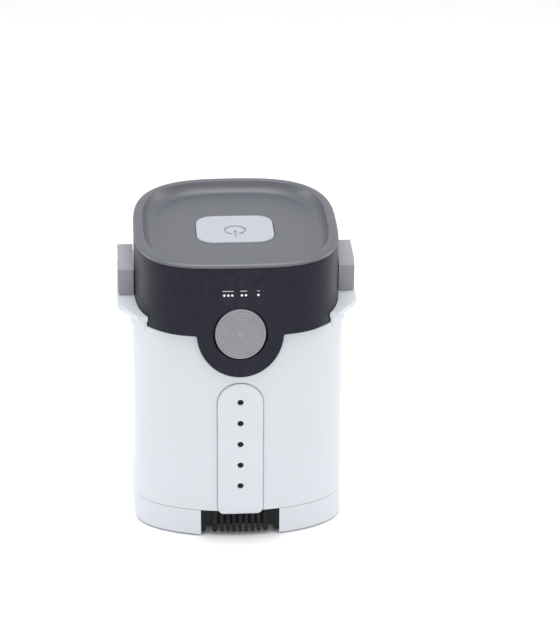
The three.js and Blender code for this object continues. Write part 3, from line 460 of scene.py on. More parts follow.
def boolean(piece, tools, operation):
    """Cuts, joins or intersects. Faces are split into triangles if the first try fails."""
    for tool in tools:
        change = piece.modifiers.new("boolean", "BOOLEAN")
        change.operation = operation
        change.solver = "EXACT"
        change.object = tool
        mesh = evaluated_mesh(piece)
        if not is_closed(mesh):
            split_faces(piece)
            split_faces(tool)
            mesh = evaluated_mesh(piece)
        if len(mesh.polygons) < 5:
            raise RuntimeError(f"{piece.name} vanished in a boolean with {tool.name}")
        take_mesh(piece, mesh)
        bpy.data.objects.remove(tool)
    return piece


def cut(piece, *tools):
    return boolean(piece, tools, "DIFFERENCE")


def join(piece, *tools):
    return boolean(piece, tools, "UNION")


def gathered(piece, others):
    """Adds the others' faces to the piece's mesh as separate shells."""
    work = bmesh.new()
    for part in (piece, *others):
        work.from_mesh(part.data)
    work.to_mesh(piece.data)
    work.free()
    for other in others:
        bpy.data.objects.remove(other)
    return piece


def rounded(piece, width, segments=2, angle=40.0):
    """Rounds every edge sharper than the angle, and keeps the result."""
    bevel = piece.modifiers.new("rounding", "BEVEL")
    bevel.width = width
    bevel.segments = segments
    bevel.limit_method = "ANGLE"
    bevel.angle_limit = math.radians(angle)
    bevel.miter_outer = "MITER_ARC"
    settle(piece)
    return piece


def smooth(piece, angle=32.0):
    """Smooth shading with sharp edges above the angle, and large faces kept flat."""
    for polygon in piece.data.polygons:
        polygon.use_smooth = True
    piece.data.set_sharp_from_angle(angle=math.radians(angle))
    normals = piece.modifiers.new("normals", "WEIGHTED_NORMAL")
    normals.keep_sharp = True
    settle(piece)


def place(piece, body, material, slot, *nodes, angle=32.0):
    """Gives a piece its finish, its body, and the CAD nodes that it stands for."""
    smooth(piece, angle)
    piece.data.materials.clear()
    piece.data.materials.append(material)
    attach(piece, body)
    if nodes:
        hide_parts(*nodes)
    return piece


# ------------------------------------------------------------------ shader building
def add_node(tree, kind, **values):
    """A node with its inputs set by name, and its own settings by lower-case name."""
    node = tree.nodes.new(kind)
    for key, value in values.items():
        if key in node.inputs:
            node.inputs[key].default_value = value
        else:
            setattr(node, key, value)
    return node


def new_group(name, inputs, outputs):
    group = bpy.data.node_groups.new(name, "ShaderNodeTree")
    for label, default in inputs:
        socket = group.interface.new_socket(label, in_out="INPUT", socket_type="NodeSocketFloat")
        socket.default_value = default
    for label in outputs:
        group.interface.new_socket(label, in_out="OUTPUT", socket_type="NodeSocketFloat")
    return group, group.nodes.new("NodeGroupInput"), group.nodes.new("NodeGroupOutput")


def scaled_noise(group, source, size_socket, detail, roughness=0.55):
    """Noise whose grains have the size that the group's input gives, in metres."""
    scale = add_node(group, "ShaderNodeMath", operation="DIVIDE")
    scale.inputs[0].default_value = 1.0
    group.links.new(size_socket, scale.inputs[1])
    noise = add_node(group, "ShaderNodeTexNoise", Detail=detail, Roughness=roughness)
    group.links.new(source.outputs["Object"], noise.inputs["Vector"])
    group.links.new(scale.outputs[0], noise.inputs["Scale"])
    return noise


def ramped(group, socket, start, end):
    """A mask that rises from 0 to 1 between two values of the socket."""
    ramp = add_node(group, "ShaderNodeMapRange")
    ramp.inputs["From Min"].default_value = start
    ramp.inputs["From Max"].default_value = end
    group.links.new(socket, ramp.inputs["Value"])
    return ramp.outputs["Result"]


def product(group, first, second):
    """One socket times another."""
    times = add_node(group, "ShaderNodeMath", operation="MULTIPLY")
    group.links.new(first, times.inputs[0])
    group.links.new(second, times.inputs[1])
    return times.outputs[0]


def mould_grain_group():
    """Fine spark-eroded texture, and a slow cloudiness of the tone."""
    name = "Mould Grain"
    if name in bpy.data.node_groups:
        return bpy.data.node_groups[name]
    group, given, result = new_group(
        name, [("Grain Size", 0.0006), ("Cloud Size", 0.05)], ["Height", "Tone"])
    source = add_node(group, "ShaderNodeTexCoord")
    grain = scaled_noise(group, source, given.outputs["Grain Size"], 3.0)
    cloud = scaled_noise(group, source, given.outputs["Cloud Size"], 2.0)
    group.links.new(grain.outputs["Fac"], result.inputs["Height"])
    group.links.new(cloud.outputs["Fac"], result.inputs["Tone"])
    return group


def edge_wear_group():
    """Bright rubbed edges, broken up by noise."""
    name = "Edge Wear"
    if name in bpy.data.node_groups:
        return bpy.data.node_groups[name]
    group, given, result = new_group(
        name, [("Amount", 0.5), ("Break Size", 0.008)], ["Mask"])
    shape = add_node(group, "ShaderNodeNewGeometry")
    rubbed = ramped(group, shape.outputs["Pointiness"], 0.505, 0.56)
    source = add_node(group, "ShaderNodeTexCoord")
    breaks = scaled_noise(group, source, given.outputs["Break Size"], 4.0, 0.7)
    patchy = ramped(group, breaks.outputs["Fac"], 0.42, 0.66)
    mask = product(group, product(group, rubbed, patchy), given.outputs["Amount"])
    group.links.new(mask, result.inputs["Mask"])
    return group


def settled_dust_group():
    """Thin specks of dried dust, more of them on faces that look up."""
    name = "Settled Dust"
    if name in bpy.data.node_groups:
        return bpy.data.node_groups[name]
    group, given, result = new_group(
        name, [("Amount", 0.2), ("Speck Size", 0.0015)], ["Mask"])
    shape = add_node(group, "ShaderNodeNewGeometry")
    parts = add_node(group, "ShaderNodeSeparateXYZ")
    group.links.new(shape.outputs["Normal"], parts.inputs[0])
    upward = ramped(group, parts.outputs["Z"], -0.2, 1.0)
    source = add_node(group, "ShaderNodeTexCoord")
    specks = scaled_noise(group, source, given.outputs["Speck Size"], 5.0, 0.75)
    sparse = ramped(group, specks.outputs["Fac"], 0.56, 0.74)
    mask = product(group, product(group, upward, sparse), given.outputs["Amount"])
    group.links.new(mask, result.inputs["Mask"])
    return group


def place_group(tree, group, **values):
    node = tree.nodes.new("ShaderNodeGroup")
    node.node_tree = group
    for key, value in values.items():
        node.inputs[key.replace("_", " ").title()].default_value = value
    return node


def mix_colour(tree, factor, first, second):
    """A mix of two colours; each may be a colour or a socket."""
    mix = add_node(tree, "ShaderNodeMix", data_type="RGBA")
    tree.links.new(factor, mix.inputs[0])
    for value, socket in ((first, mix.inputs[6]), (second, mix.inputs[7])):
        if isinstance(value, bpy.types.NodeSocket):
            tree.links.new(value, socket)
        else:
            socket.default_value = (*value, 1.0)
    return mix.outputs[2]


def shade(colour, factor):
    return tuple(min(1.0, part * factor) for part in colour)


def plastic(name, colour, roughness=0.4, grain=0.6 * MM, depth=0.02 * MM, wear=0.3,
            dust=0.05, coat=0.0, specular=0.5, sheen_spread=0.03):
    """Moulded plastic: grain, slow tone changes, rubbed edges and a little dust."""
    if name in bpy.data.materials:
        return bpy.data.materials[name]
    material = bpy.data.materials.new(name)
    material.use_nodes = True
    tree = material.node_tree
    shader = tree.nodes["Principled BSDF"]
    colour = tuple(colour)
    shader.inputs["Specular IOR Level"].default_value = specular
    shader.inputs["Coat Weight"].default_value = coat
    shader.inputs["Coat Roughness"].default_value = 0.15
    surface = place_group(tree, mould_grain_group(), grain_size=grain, cloud_size=0.06)
    worn = place_group(tree, edge_wear_group(), amount=wear, break_size=0.006)
    dusty = place_group(tree, settled_dust_group(), amount=dust, speck_size=0.0016)
    toned = mix_colour(tree, surface.outputs["Tone"], shade(colour, 0.98), shade(colour, 1.02))
    rubbed = mix_colour(tree, worn.outputs["Mask"], toned,
                        tuple(part * 0.75 + 0.12 for part in colour))
    final = mix_colour(tree, dusty.outputs["Mask"], rubbed, (0.42, 0.41, 0.38))
    tree.links.new(final, shader.inputs["Base Color"])
    gloss = add_node(tree, "ShaderNodeMapRange")
    gloss.inputs["To Min"].default_value = roughness - sheen_spread
    gloss.inputs["To Max"].default_value = roughness + sheen_spread
    tree.links.new(surface.outputs["Tone"], gloss.inputs["Value"])
    tree.links.new(gloss.outputs["Result"], shader.inputs["Roughness"])
    bump = add_node(tree, "ShaderNodeBump", Strength=0.5, Distance=depth)
    tree.links.new(surface.outputs["Height"], bump.inputs["Height"])
    tree.links.new(bump.outputs["Normal"], shader.inputs["Normal"])
    return material


def turned_metal(name, colour, roughness=0.3):
    """Stainless steel with fine turning lines round the Z axis."""
    if name in bpy.data.materials:
        return bpy.data.materials[name]
    material = bpy.data.materials.new(name)
    material.use_nodes = True
    tree = material.node_tree
    shader = tree.nodes["Principled BSDF"]
    shader.inputs["Metallic"].default_value = 1.0
    source = add_node(tree, "ShaderNodeTexCoord")
    stretch = add_node(tree, "ShaderNodeMapping")
    stretch.inputs["Scale"].default_value = (40, 40, 4000)
    tree.links.new(source.outputs["Object"], stretch.inputs["Vector"])
    lines = add_node(tree, "ShaderNodeTexNoise", Scale=1.0, Detail=3.0)
    tree.links.new(stretch.outputs["Vector"], lines.inputs["Vector"])
    toned = mix_colour(tree, lines.outputs["Fac"], shade(colour, 0.82), shade(colour, 1.12))
    tree.links.new(toned, shader.inputs["Base Color"])
    gloss = add_node(tree, "ShaderNodeMapRange")
    gloss.inputs["To Min"].default_value = roughness - 0.08
    gloss.inputs["To Max"].default_value = roughness + 0.12
    tree.links.new(lines.outputs["Fac"], gloss.inputs["Value"])
    tree.links.new(gloss.outputs["Result"], shader.inputs["Roughness"])
    bump = add_node(tree, "ShaderNodeBump", Strength=0.3, Distance=0.01 * MM)
    tree.links.new(lines.outputs["Fac"], bump.inputs["Height"])
    tree.links.new(bump.outputs["Normal"], shader.inputs["Normal"])
    return material


def lit_plastic(name, colour, strength):
    """Diffusing plastic with light behind it, brighter in its middle clouds."""
    if name in bpy.data.materials:
        return bpy.data.materials[name]
    material = plastic(name, colour, roughness=0.35, grain=0.3 * MM, depth=0.005 * MM, wear=0.0,
                       dust=0.0)
    tree = material.node_tree
    shader = tree.nodes["Principled BSDF"]
    surface = place_group(tree, mould_grain_group(), grain_size=0.5 * MM, cloud_size=0.004)
    glow = mix_colour(tree, surface.outputs["Tone"], shade(colour, 0.9), shade(colour, 1.0))
    tree.links.new(glow, shader.inputs["Emission Color"])
    shader.inputs["Emission Strength"].default_value = strength
    return material


def finish_named(slot):
    """The finish of one of the record's material slots."""
    colours = bpy.context.scene.cleaner_colours
    makers = {
        "white_shell": lambda: plastic("White Shell", colours.white, 0.4, 0.5 * MM, 0.005 * MM,
                                       wear=0.1, dust=0.0, coat=0.1),
        "charcoal": lambda: plastic("Charcoal", colours.charcoal, 0.42, 0.45 * MM, 0.01 * MM,
                                    wear=0.08, dust=0.0, specular=0.22),
        # Painted top light: this finish lightens the tray so that it looks lit from above.
        "tray_grey": lambda: plastic("Tray Grey", colours.tray, 0.4, 0.5 * MM, 0.01 * MM,
                                     wear=0.08, dust=0.0, specular=0.75),
        "button_grey": lambda: plastic("Button Grey", colours.button, 0.4, 0.4 * MM, 0.006 * MM,
                                       wear=0.1, dust=0.0),
        "mode_grey": lambda: plastic("Mode Grey", colours.mode, 0.38, 0.35 * MM, 0.008 * MM,
                                     wear=0.2, dust=0.0),
        "latch_grey": lambda: plastic("Latch Grey", colours.latch, 0.42, 0.45 * MM, 0.01 * MM,
                                      wear=0.25, dust=0.0),
        "black_plastic": lambda: plastic("Black Plastic", (0.006, 0.006, 0.008), 0.5, 0.5 * MM,
                                         0.01 * MM, wear=0.1, dust=0.0, specular=0.2),
        "rubber": lambda: plastic("Black Rubber", (0.018, 0.018, 0.02), 0.78, 0.8 * MM,
                                  0.05 * MM, wear=0.1, dust=0.12),
        "lamp": lambda: lit_plastic("Lamp White", (0.78, 0.79, 0.81), 0.12),
        "steel": lambda: turned_metal("Stainless Steel", (0.62, 0.63, 0.65)),
        "circuit_board": lambda: plastic("Circuit Board", (0.015, 0.09, 0.045), 0.35, 1.2 * MM,
                                         0.03 * MM, wear=0.0, dust=0.0, coat=0.3),
        "cell_sleeve": lambda: plastic("Cell Sleeve", (0.03, 0.11, 0.28), 0.3, 1.5 * MM,
                                       0.02 * MM, wear=0.0, dust=0.0, coat=0.4),
        "basket_plastic": lambda: plastic("Basket Plastic", (0.58, 0.62, 0.66), 0.55, 0.6 * MM,
                                          0.03 * MM, wear=0.2, dust=0.12),
        "rotor_plastic": lambda: plastic("Rotor Plastic", (0.72, 0.74, 0.77), 0.45, 0.5 * MM,
                                         0.02 * MM, wear=0.2, dust=0.0),
    }
    return makers[slot]()


# ------------------------------------------------------------------ shared shapes
def along_y(radius, start, end, x, z, name="tool", count=48):
    return turned(name, [(radius, start), (radius, end)], (x, z), "Y", count)


def along_x(radius, start, end, y, z, name="tool", count=48):
    return turned(name, [(radius, start), (radius, end)], (y, z), "X", count)


def upright(radius, start, end, x, y, name="tool", count=48):
    return turned(name, [(radius, start), (radius, end)], (x, y), "Z", count)


def rectangle_rings(half_x, half_y, corner, x=0.0, y=0.0):
    """An outline(inset) of a rounded rectangle."""
    def outline(inset):
        return rounded_rectangle(half_x - inset, half_y - inset,
                                 max(corner - inset, 0.1 * MM), x, y)
    return outline


def capped(name, outline, start, end, edge, axis="Z"):
    """A prism with both end edges rounded."""
    way = math.copysign(1, end - start)
    section = [(edge * (1 - math.sin(a)), start + way * edge * (1 - math.cos(a)))
               for a in (math.pi / 2 * i / 4 for i in range(5))]
    section += [(edge * (1 - math.cos(a)), end - way * edge * (1 - math.sin(a)))
                for a in (math.pi / 2 * i / 4 for i in range(5))]
    return swept(name, outline, section, axis)


def refined(node, name, edge, angle=35.0):
    """A copy of a CAD node with merged faces and rounded edges."""
    mesh = bpy.data.objects[node].data.copy()
    work = bmesh.new()
    work.from_mesh(mesh)
    bmesh.ops.remove_doubles(work, verts=work.verts, dist=0.002 * MM)
    bmesh.ops.dissolve_limit(work, angle_limit=math.radians(1.0), verts=work.verts,
                             edges=work.edges)
    work.to_mesh(mesh)
    work.free()
    piece = bpy.data.objects.new(name, mesh)
    bpy.context.scene.collection.objects.link(piece)
    return rounded(piece, edge, 2, angle) if edge else piece


def screw(name, node):
    """Machine screw with its head down, a hex recess and ring threads."""
    (x, y, _), bottom, top = middle(node), low(node).z, high(node).z
    head, shank = high(node).x - x, 1.6 * MM
    section = [(head - 0.5 * MM, bottom), (head - 0.15 * MM, bottom + 0.15 * MM),
               (head, bottom + 0.5 * MM), (head, bottom + 2.0 * MM),
               (head - 0.2 * MM, bottom + 2.2 * MM), (shank, bottom + 2.2 * MM)]
    pitch = 0.9 * MM
    turns = int((top - bottom - 3.4 * MM) / pitch)
    for i in range(turns):
        start = bottom + 2.6 * MM + i * pitch
        section += [(shank, start), (shank - 0.28 * MM, start + pitch / 2)]
    section += [(shank, top - 0.6 * MM), (shank * 0.55, top)]
    piece = turned(name, section, (x, y), count=32)
    hexagon = circle(1.3 * MM, x, y, 6)
    return cut(piece, prism("recess", hexagon, bottom - 1 * MM, bottom + 1.2 * MM))


# ------------------------------------------------------------------ tank
def tank_body():
    """Tank wall, deck and seal groove as one turned-in section."""
    sizes = bpy.context.scene.cleaner_sizes
    bottom = low("tank_shell").z
    wall, soft = sizes.tank_wall, sizes.edge
    groove_out, groove_in = 5.5 * MM, 10.5 * MM
    groove_floor = TANK_TOP - 2.2 * MM
    mouth = 13 * MM
    deck_under = TANK_TOP - 4 * MM
    ring = filleted([
        (wall / 2, bottom), (0, bottom, 0.7 * MM), (0, TANK_TOP, 1.2 * MM),
        (groove_out, TANK_TOP, soft), (groove_out, groove_floor), (groove_in, groove_floor),
        (groove_in, TANK_TOP, soft), (mouth, TANK_TOP, 0.8 * MM), (mouth, deck_under, soft),
        (wall, deck_under, 1.5 * MM), (wall, bottom, soft), (wall / 2 + 0.01 * MM, bottom)])
    return swept("tank", tank_outline, ring, closed=True)


def ledges():
    """Shelves at both sides that the latches stand on."""
    reach, top = LEDGE_REACH, LEDGE_TOP
    bottom = top - 5 * MM
    foot_x, half, foot_y = HEAD_HALF_WIDTH - 2.6 * MM, 49 * MM, 80 * MM
    shelf_line = [(foot_x, -foot_y), (reach, -half), (reach, half), (foot_x, foot_y),
                  (-foot_x, foot_y), (-reach, half), (-reach, -half), (-foot_x, -foot_y)]
    shelf = prism("shelf", shelf_line, bottom, top)
    cheek_x, slope = TANK_HALF_WIDTH + 1.6 * MM, 12 * MM
    cheek_y = foot_y - 1.5 * MM
    cheek_line = [(cheek_x - slope, -cheek_y), (cheek_x, -cheek_y + 18 * MM),
                  (cheek_x, cheek_y - 18 * MM), (cheek_x - slope, cheek_y),
                  (-cheek_x + slope, cheek_y), (-cheek_x, cheek_y - 18 * MM),
                  (-cheek_x, -cheek_y + 18 * MM), (-cheek_x + slope, -cheek_y)]
    cheek = prism("cheek", cheek_line, TANK_TOP - 4 * MM, bottom + 0.3 * MM)
    room = prism("room", head_outline(-0.5 * MM), TANK_TOP, top + 1 * MM)
    return rounded(cut(join(shelf, cheek), room), 0.9 * MM, 3)


def knuckle(pin, pad_middle):
    """The eye on a ledge that a latch swings on."""
    x, z = middle(pin).x, middle(pin).z
    half, eye = 4 * MM, 2.9 * MM
    ring = capped("eye", lambda inset: circle(eye - inset, x, z, 40), pad_middle - half,
                  pad_middle + half, 0.3 * MM, "Y")
    web = block("web", (x - eye, pad_middle - half, LEDGE_TOP - 1 * MM),
                (x + eye, pad_middle + half, z))
    return cut(join(ring, web), along_y(LATCH_HOLE, pad_middle - 2 * half, pad_middle + 2 * half,
                                        x, z, count=24))


def mode_oval(margin, count=96):
    """The mode button's outline, wider by a margin."""
    width = high("mode_button").x - low("mode_button").x
    height = high("mode_button").z - low("mode_button").z
    return oval(width + 2 * margin, height + 2 * margin, 0.0, middle("mode_button").z, count)


class CLEANER_OT_tank(bpy.types.Operator):
    """Tank shell with its deck, side ledges, strip pocket and latch knuckles."""
    bl_idname = "cleaner.tank"
    bl_label = "Tank Shell"

    def execute(self, context):
        sizes = context.scene.cleaner_sizes
        piece = tank_body()
        front = -TANK_HALF_DEPTH
        strip_half = high("front_strip").x
        outside = prism("outside", tank_outline(0.2 * MM), BASE_TOP + 0.3 * MM,
                        TANK_TOP - 0.5 * MM)
        pad = block("pad", (-strip_half - 5 * MM, front + 2.5 * MM, BASE_TOP + 0.3 * MM),
                    (strip_half + 5 * MM, front + 6 * MM, high("front_strip").z + 5 * MM))
        well_back = -HEAD_HALF_DEPTH + WELL_DEPTH + WELL_FLOOR
        backing = prism("backing", mode_oval(6.8 * MM), front + 1 * MM,
                        well_back + 3.5 * MM, "Y")
        inner = boolean(join(pad, backing), [outside], "INTERSECT")
        join(piece, inner, ledges())
        pocket = prism("pocket", strip_outline(-sizes.strip_gap), front - 5 * MM,
                       high("front_strip").y + 0.3 * MM, "Y")
        well = prism("well", mode_oval(3.8 * MM), front - 5 * MM, well_back + 0.5 * MM, "Y")
        holes = [along_y(STUD_HOLE, front - 5 * MM, front + 12 * MM, 0.0,
                         middle(f"strip_stud_{i + 1}").z, count=20) for i in range(5)]
        cut(piece, pocket, well, *holes)
        latch_middle = middle("latch_pin_left").y
        for pin in ("latch_pin_left", "latch_pin_right"):
            join(piece, knuckle(pin, latch_middle))
        for i in range(4):
            node = f"base_screw_{i + 1}"
            x, y = middle(node).x, middle(node).y
            boss = upright(5.2 * MM, BASE_TOP + 0.6 * MM, BASE_TOP + 26.3 * MM, x, y)
            join(piece, cut(boss, upright(SCREW_HOLE, BASE_TOP, BASE_TOP + 18.3 * MM, x, y,
                                          count=20)))
        piece.name = "tank_body"
        place(piece, "tank", finish_named("white_shell"), "white_shell", "tank_shell")
        return {"FINISHED"}


class CLEANER_OT_base(bpy.types.Operator):
    """Base ring with its plate, intake mouth, comb notch and foot sockets."""
    bl_idname = "cleaner.base"
    bl_label = "Base Ring"

    def execute(self, context):
        sizes = context.scene.cleaner_sizes
        bottom, top, wall = low("base_ring").z, BASE_TOP, sizes.tank_wall
        plate, plate_top = 12 * MM, 15 * MM
        section = filleted([
            (wall + 1 * MM, plate), (wall, plate, 0.5 * MM), (wall, bottom, 0.5 * MM),
            (0, bottom, 1.6 * MM), (0, top, 0.7 * MM), (wall, top, 0.4 * MM),
            (wall, plate_top, 1 * MM), (wall + 2 * MM, plate_top)])
        piece = swept("base_skirt", tank_outline, section)
        half_notch = high("comb").x + 0.6 * MM
        for i in range(4):
            foot, boss = f"foot_{i + 1}", f"base_screw_{i + 1}"
            x, y = middle(foot).x, middle(foot).y
            socket = capped("socket", lambda inset, x=x, y=y: circle(FOOT_RADIUS - inset, x, y, 48),
                            4 * MM, plate + 0.3 * MM, 0.4 * MM)
            join(piece, cut(socket, upright(2.8 * MM, 3 * MM, plate - 1 * MM, x, y, count=24)))
            cut(piece, upright(SCREW_HOLE, plate - 1 * MM, plate_top + 1 * MM,
                               middle(boss).x, middle(boss).y, count=20))
        opening = rounded_rectangle(INTAKE_HALF_X, INTAKE_HALF_Y, INTAKE_CORNER)
        mouth = prism("mouth", opening, plate - 1 * MM, plate_top + 1 * MM)
        front = -TANK_HALF_DEPTH
        notch = rounded(block("notch", (-half_notch, front - 5 * MM, -5 * MM),
                              (half_notch, front + 14 * MM, top + 5 * MM)), 1.2 * MM, 3)
        cut(piece, mouth, notch)
        place(piece, "tank", finish_named("white_shell"), "white_shell", "base_ring")
        return {"FINISHED"}


class CLEANER_OT_feet(bpy.types.Operator):
    """Four rubber feet with grip rings and pegs."""
    bl_idname = "cleaner.feet"
    bl_label = "Feet"

    def execute(self, context):
        for i in range(4):
            node = f"foot_{i + 1}"
            x, y = middle(node).x, middle(node).y
            pad, peg, top = FOOT_RADIUS, 2.5 * MM, high(node).z
            section = [(0.4 * MM, 0.0)]
            for ring in (2.0, 3.6, 5.2):
                section += [(ring * MM - 0.4 * MM, 0.0), (ring * MM, 0.5 * MM),
                            (ring * MM + 0.4 * MM, 0.0)]
            section += [(pad - 0.9 * MM, 0.0), (pad - 0.25 * MM, 0.25 * MM), (pad, 0.9 * MM),
                        (pad, 3.3 * MM), (pad - 0.3 * MM, 3.7 * MM), (peg, 3.7 * MM),
                        (peg, 5 * MM), (peg + 0.2 * MM, 5.3 * MM), (peg, 5.8 * MM),
                        (peg - 0.2 * MM, top - 0.6 * MM), (peg - 0.8 * MM, top)]
            piece = turned(f"rubber_foot_{i + 1}", section, (x, y))
            place(piece, "tank", finish_named("rubber"), "rubber", node)
        return {"FINISHED"}


class CLEANER_OT_base_screws(bpy.types.Operator):
    """Screws that hold the base ring to the tank."""
    bl_idname = "cleaner.base_screws"
    bl_label = "Base Screws"

    def execute(self, context):
        for i in range(4):
            node = f"base_screw_{i + 1}"
            place(screw(f"ring_screw_{i + 1}", node), "tank", finish_named("steel"), "steel",
                  node)
        return {"FINISHED"}


class CLEANER_OT_strip(bpy.types.Operator):
    """Front strip with its pillowed edge."""
    bl_idname = "cleaner.strip"
    bl_label = "Front Strip"

    def execute(self, context):
        sizes = context.scene.cleaner_sizes
        front, back = low("front_strip").y, high("front_strip").y
        soft = sizes.strip_pillow
        depth = 2.3 * MM
        section = [(0.3 * MM, back), (0.0, back - 0.3 * MM), (0.0, front + depth)]
        section += quarter(0.0, front + depth, soft, front, 12)
        section.append((soft + 0.4 * MM, front))
        piece = swept("strip_panel", strip_outline, section, "Y")
        holes = []
        for i in range(5):
            z = middle(f"strip_stud_{i + 1}").z
            mouth = [(3.5 * MM, front - 0.5 * MM), (3.3 * MM, front), (3.0 * MM, front + 0.15 * MM),
                     (2.9 * MM, front + 0.45 * MM), (2.9 * MM, front + 2.6 * MM)]
            holes.append(turned("hole", mouth, (0.0, z), "Y", 48))
            holes.append(along_y(STUD_HOLE, front, back + 1 * MM, 0.0, z, count=24))
        cut(piece, *holes)
        place(piece, "tank", finish_named("white_shell"), "white_shell", "front_strip")
        return {"FINISHED"}


class CLEANER_OT_studs(bpy.types.Operator):
    """Five black studs down the front strip."""
    bl_idname = "cleaner.studs"
    bl_label = "Strip Studs"

    def execute(self, context):
        for i in range(5):
            node = f"strip_stud_{i + 1}"
            z, head = middle(node).z, high(node).x
            front, back = low(node).y, high(node).y
            section = [(head * math.sin(a), front + 0.75 * MM * (1 - math.cos(a)))
                       for a in (math.pi / 2 * k / 8 for k in range(9))]
            section += [(head, front + 1.6 * MM), (head - 0.2 * MM, front + 1.8 * MM),
                        (1.5 * MM, front + 1.8 * MM), (1.5 * MM, back - 0.4 * MM),
                        (1.2 * MM, back)]
            piece = turned(f"stud_{i + 1}", section, (0.0, z), "Y", 40)
            place(piece, "tank", finish_named("black_plastic"), "black_plastic", node)
        return {"FINISHED"}


def tooth_shape(centre, width, tip, top):
    """A comb tooth with a round tip, in X and Z."""
    half = width / 2
    points = [(centre + half, top), (centre - half, top)]
    points += [(centre + half * math.cos(a), tip + half + half * math.sin(a))
               for a in (math.pi + math.pi * i / 10 for i in range(11))]
    return points


class CLEANER_OT_comb(bpy.types.Operator):
    """Rubber comb in the notch of the base ring."""
    bl_idname = "cleaner.comb"
    bl_label = "Intake Comb"

    def execute(self, context):
        half, top, tip = high("comb").x, high("comb").z, low("comb").z
        back = high("comb").y
        web_front, web_bottom = back - 2 * MM, 9.5 * MM
        recess, outer, wide, fine, window = 2.2 * MM, 4.3 * MM, 4.8 * MM, 3.6 * MM, 6.1 * MM
        piece = block("comb_strip", (-half, web_front, web_bottom), (half, back, top))
        window_x = half - outer - window / 2
        places = [(i * 5.85 * MM, fine) for i in range(-3, 4)]
        for side in (-1, 1):
            places += [(side * (half - outer / 2), outer),
                       (side * (window_x - (window + wide) / 2), wide)]
            front = tank_front(window_x) + recess + 1.5 * MM
            join(piece, block("pane", (side * window_x - window / 2 - 0.3 * MM, front, web_bottom),
                              (side * window_x + window / 2 + 0.3 * MM, web_front + 0.3 * MM,
                               top)))
        for x, width in places:
            front = tank_front(x) + recess
            tooth = prism("tooth", tooth_shape(x, width, tip, top), front,
                          web_front + 0.3 * MM, "Y")
            join(piece, rounded(tooth, 0.5 * MM, 3))
        place(piece, "tank", finish_named("black_plastic"), "black_plastic", "comb")
        return {"FINISHED"}


class CLEANER_OT_intake(bpy.types.Operator):
    """Intake throat, its flap and the flap's pin."""
    bl_idname = "cleaner.intake"
    bl_label = "Intake Valve"

    def execute(self, context):
        half_x, half_y, corner, wall = INTAKE_HALF_X, INTAKE_HALF_Y, INTAKE_CORNER, INTAKE_WALL
        bottom, top = low("intake_throat").z, low("intake_flap").z - 0.3 * MM
        pivot_y, pivot_z = middle("flap_pin").y, middle("flap_pin").z
        section = filleted([
            (-1 * MM, bottom), (-8 * MM, bottom, 0.4 * MM), (-8 * MM, bottom + 3 * MM, 0.8 * MM),
            (-wall, bottom + 3 * MM, 1 * MM), (-wall, top, 0.5 * MM), (0, top, 0.5 * MM),
            (0, bottom, 0.3 * MM), (-0.9 * MM, bottom)])
        throat = swept("throat", rectangle_rings(half_x, half_y, corner), section, closed=True)
        for side in (-1, 1):
            lug = block("lug", (side * half_x - 3 * MM, pivot_y - 3 * MM, bottom + 2.5 * MM),
                        (side * half_x + 3 * MM, pivot_y + 3 * MM, high("intake_throat").z))
            join(throat, rounded(lug, 0.8 * MM, 3))
        cut(throat, along_x(FLAP_HOLE, -half_x - 9 * MM, half_x + 9 * MM, pivot_y, pivot_z,
                            count=24))
        place(throat, "tank", finish_named("black_plastic"), "black_plastic", "intake_throat")

        low_z = low("intake_flap").z
        plate = capped("flap", rectangle_rings(half_x + 2 * MM, half_y + 2 * MM, corner), low_z,
                       low_z + 2.4 * MM, 0.8 * MM)
        reach = half_x - 4 * MM
        arm = block("arm", (-reach, half_y, low_z), (reach, pivot_y, low_z + 2.4 * MM))
        eye = capped("eye", lambda inset: circle(2.6 * MM - inset, pivot_y, pivot_z, 32), -reach,
                     reach, 0.4 * MM, "X")
        join(plate, arm, eye)
        cut(plate, along_x(FLAP_HOLE, -half_x, half_x, pivot_y, pivot_z, count=24))
        place(plate, "flap", finish_named("rubber"), "rubber", "intake_flap")

        pin = capped("flap_axle", lambda inset: circle(1.2 * MM - inset, pivot_y, pivot_z, 24),
                     low("flap_pin").x, high("flap_pin").x, 0.3 * MM, "X")
        place(pin, "tank", finish_named("steel"), "steel", "flap_pin")
        return {"FINISHED"}


def spread(half_span, pitch):
    """Evenly pitched places that fit in the span."""
    count = int(2 * half_span / pitch)
    return [(i - (count - 1) / 2) * pitch for i in range(count)]


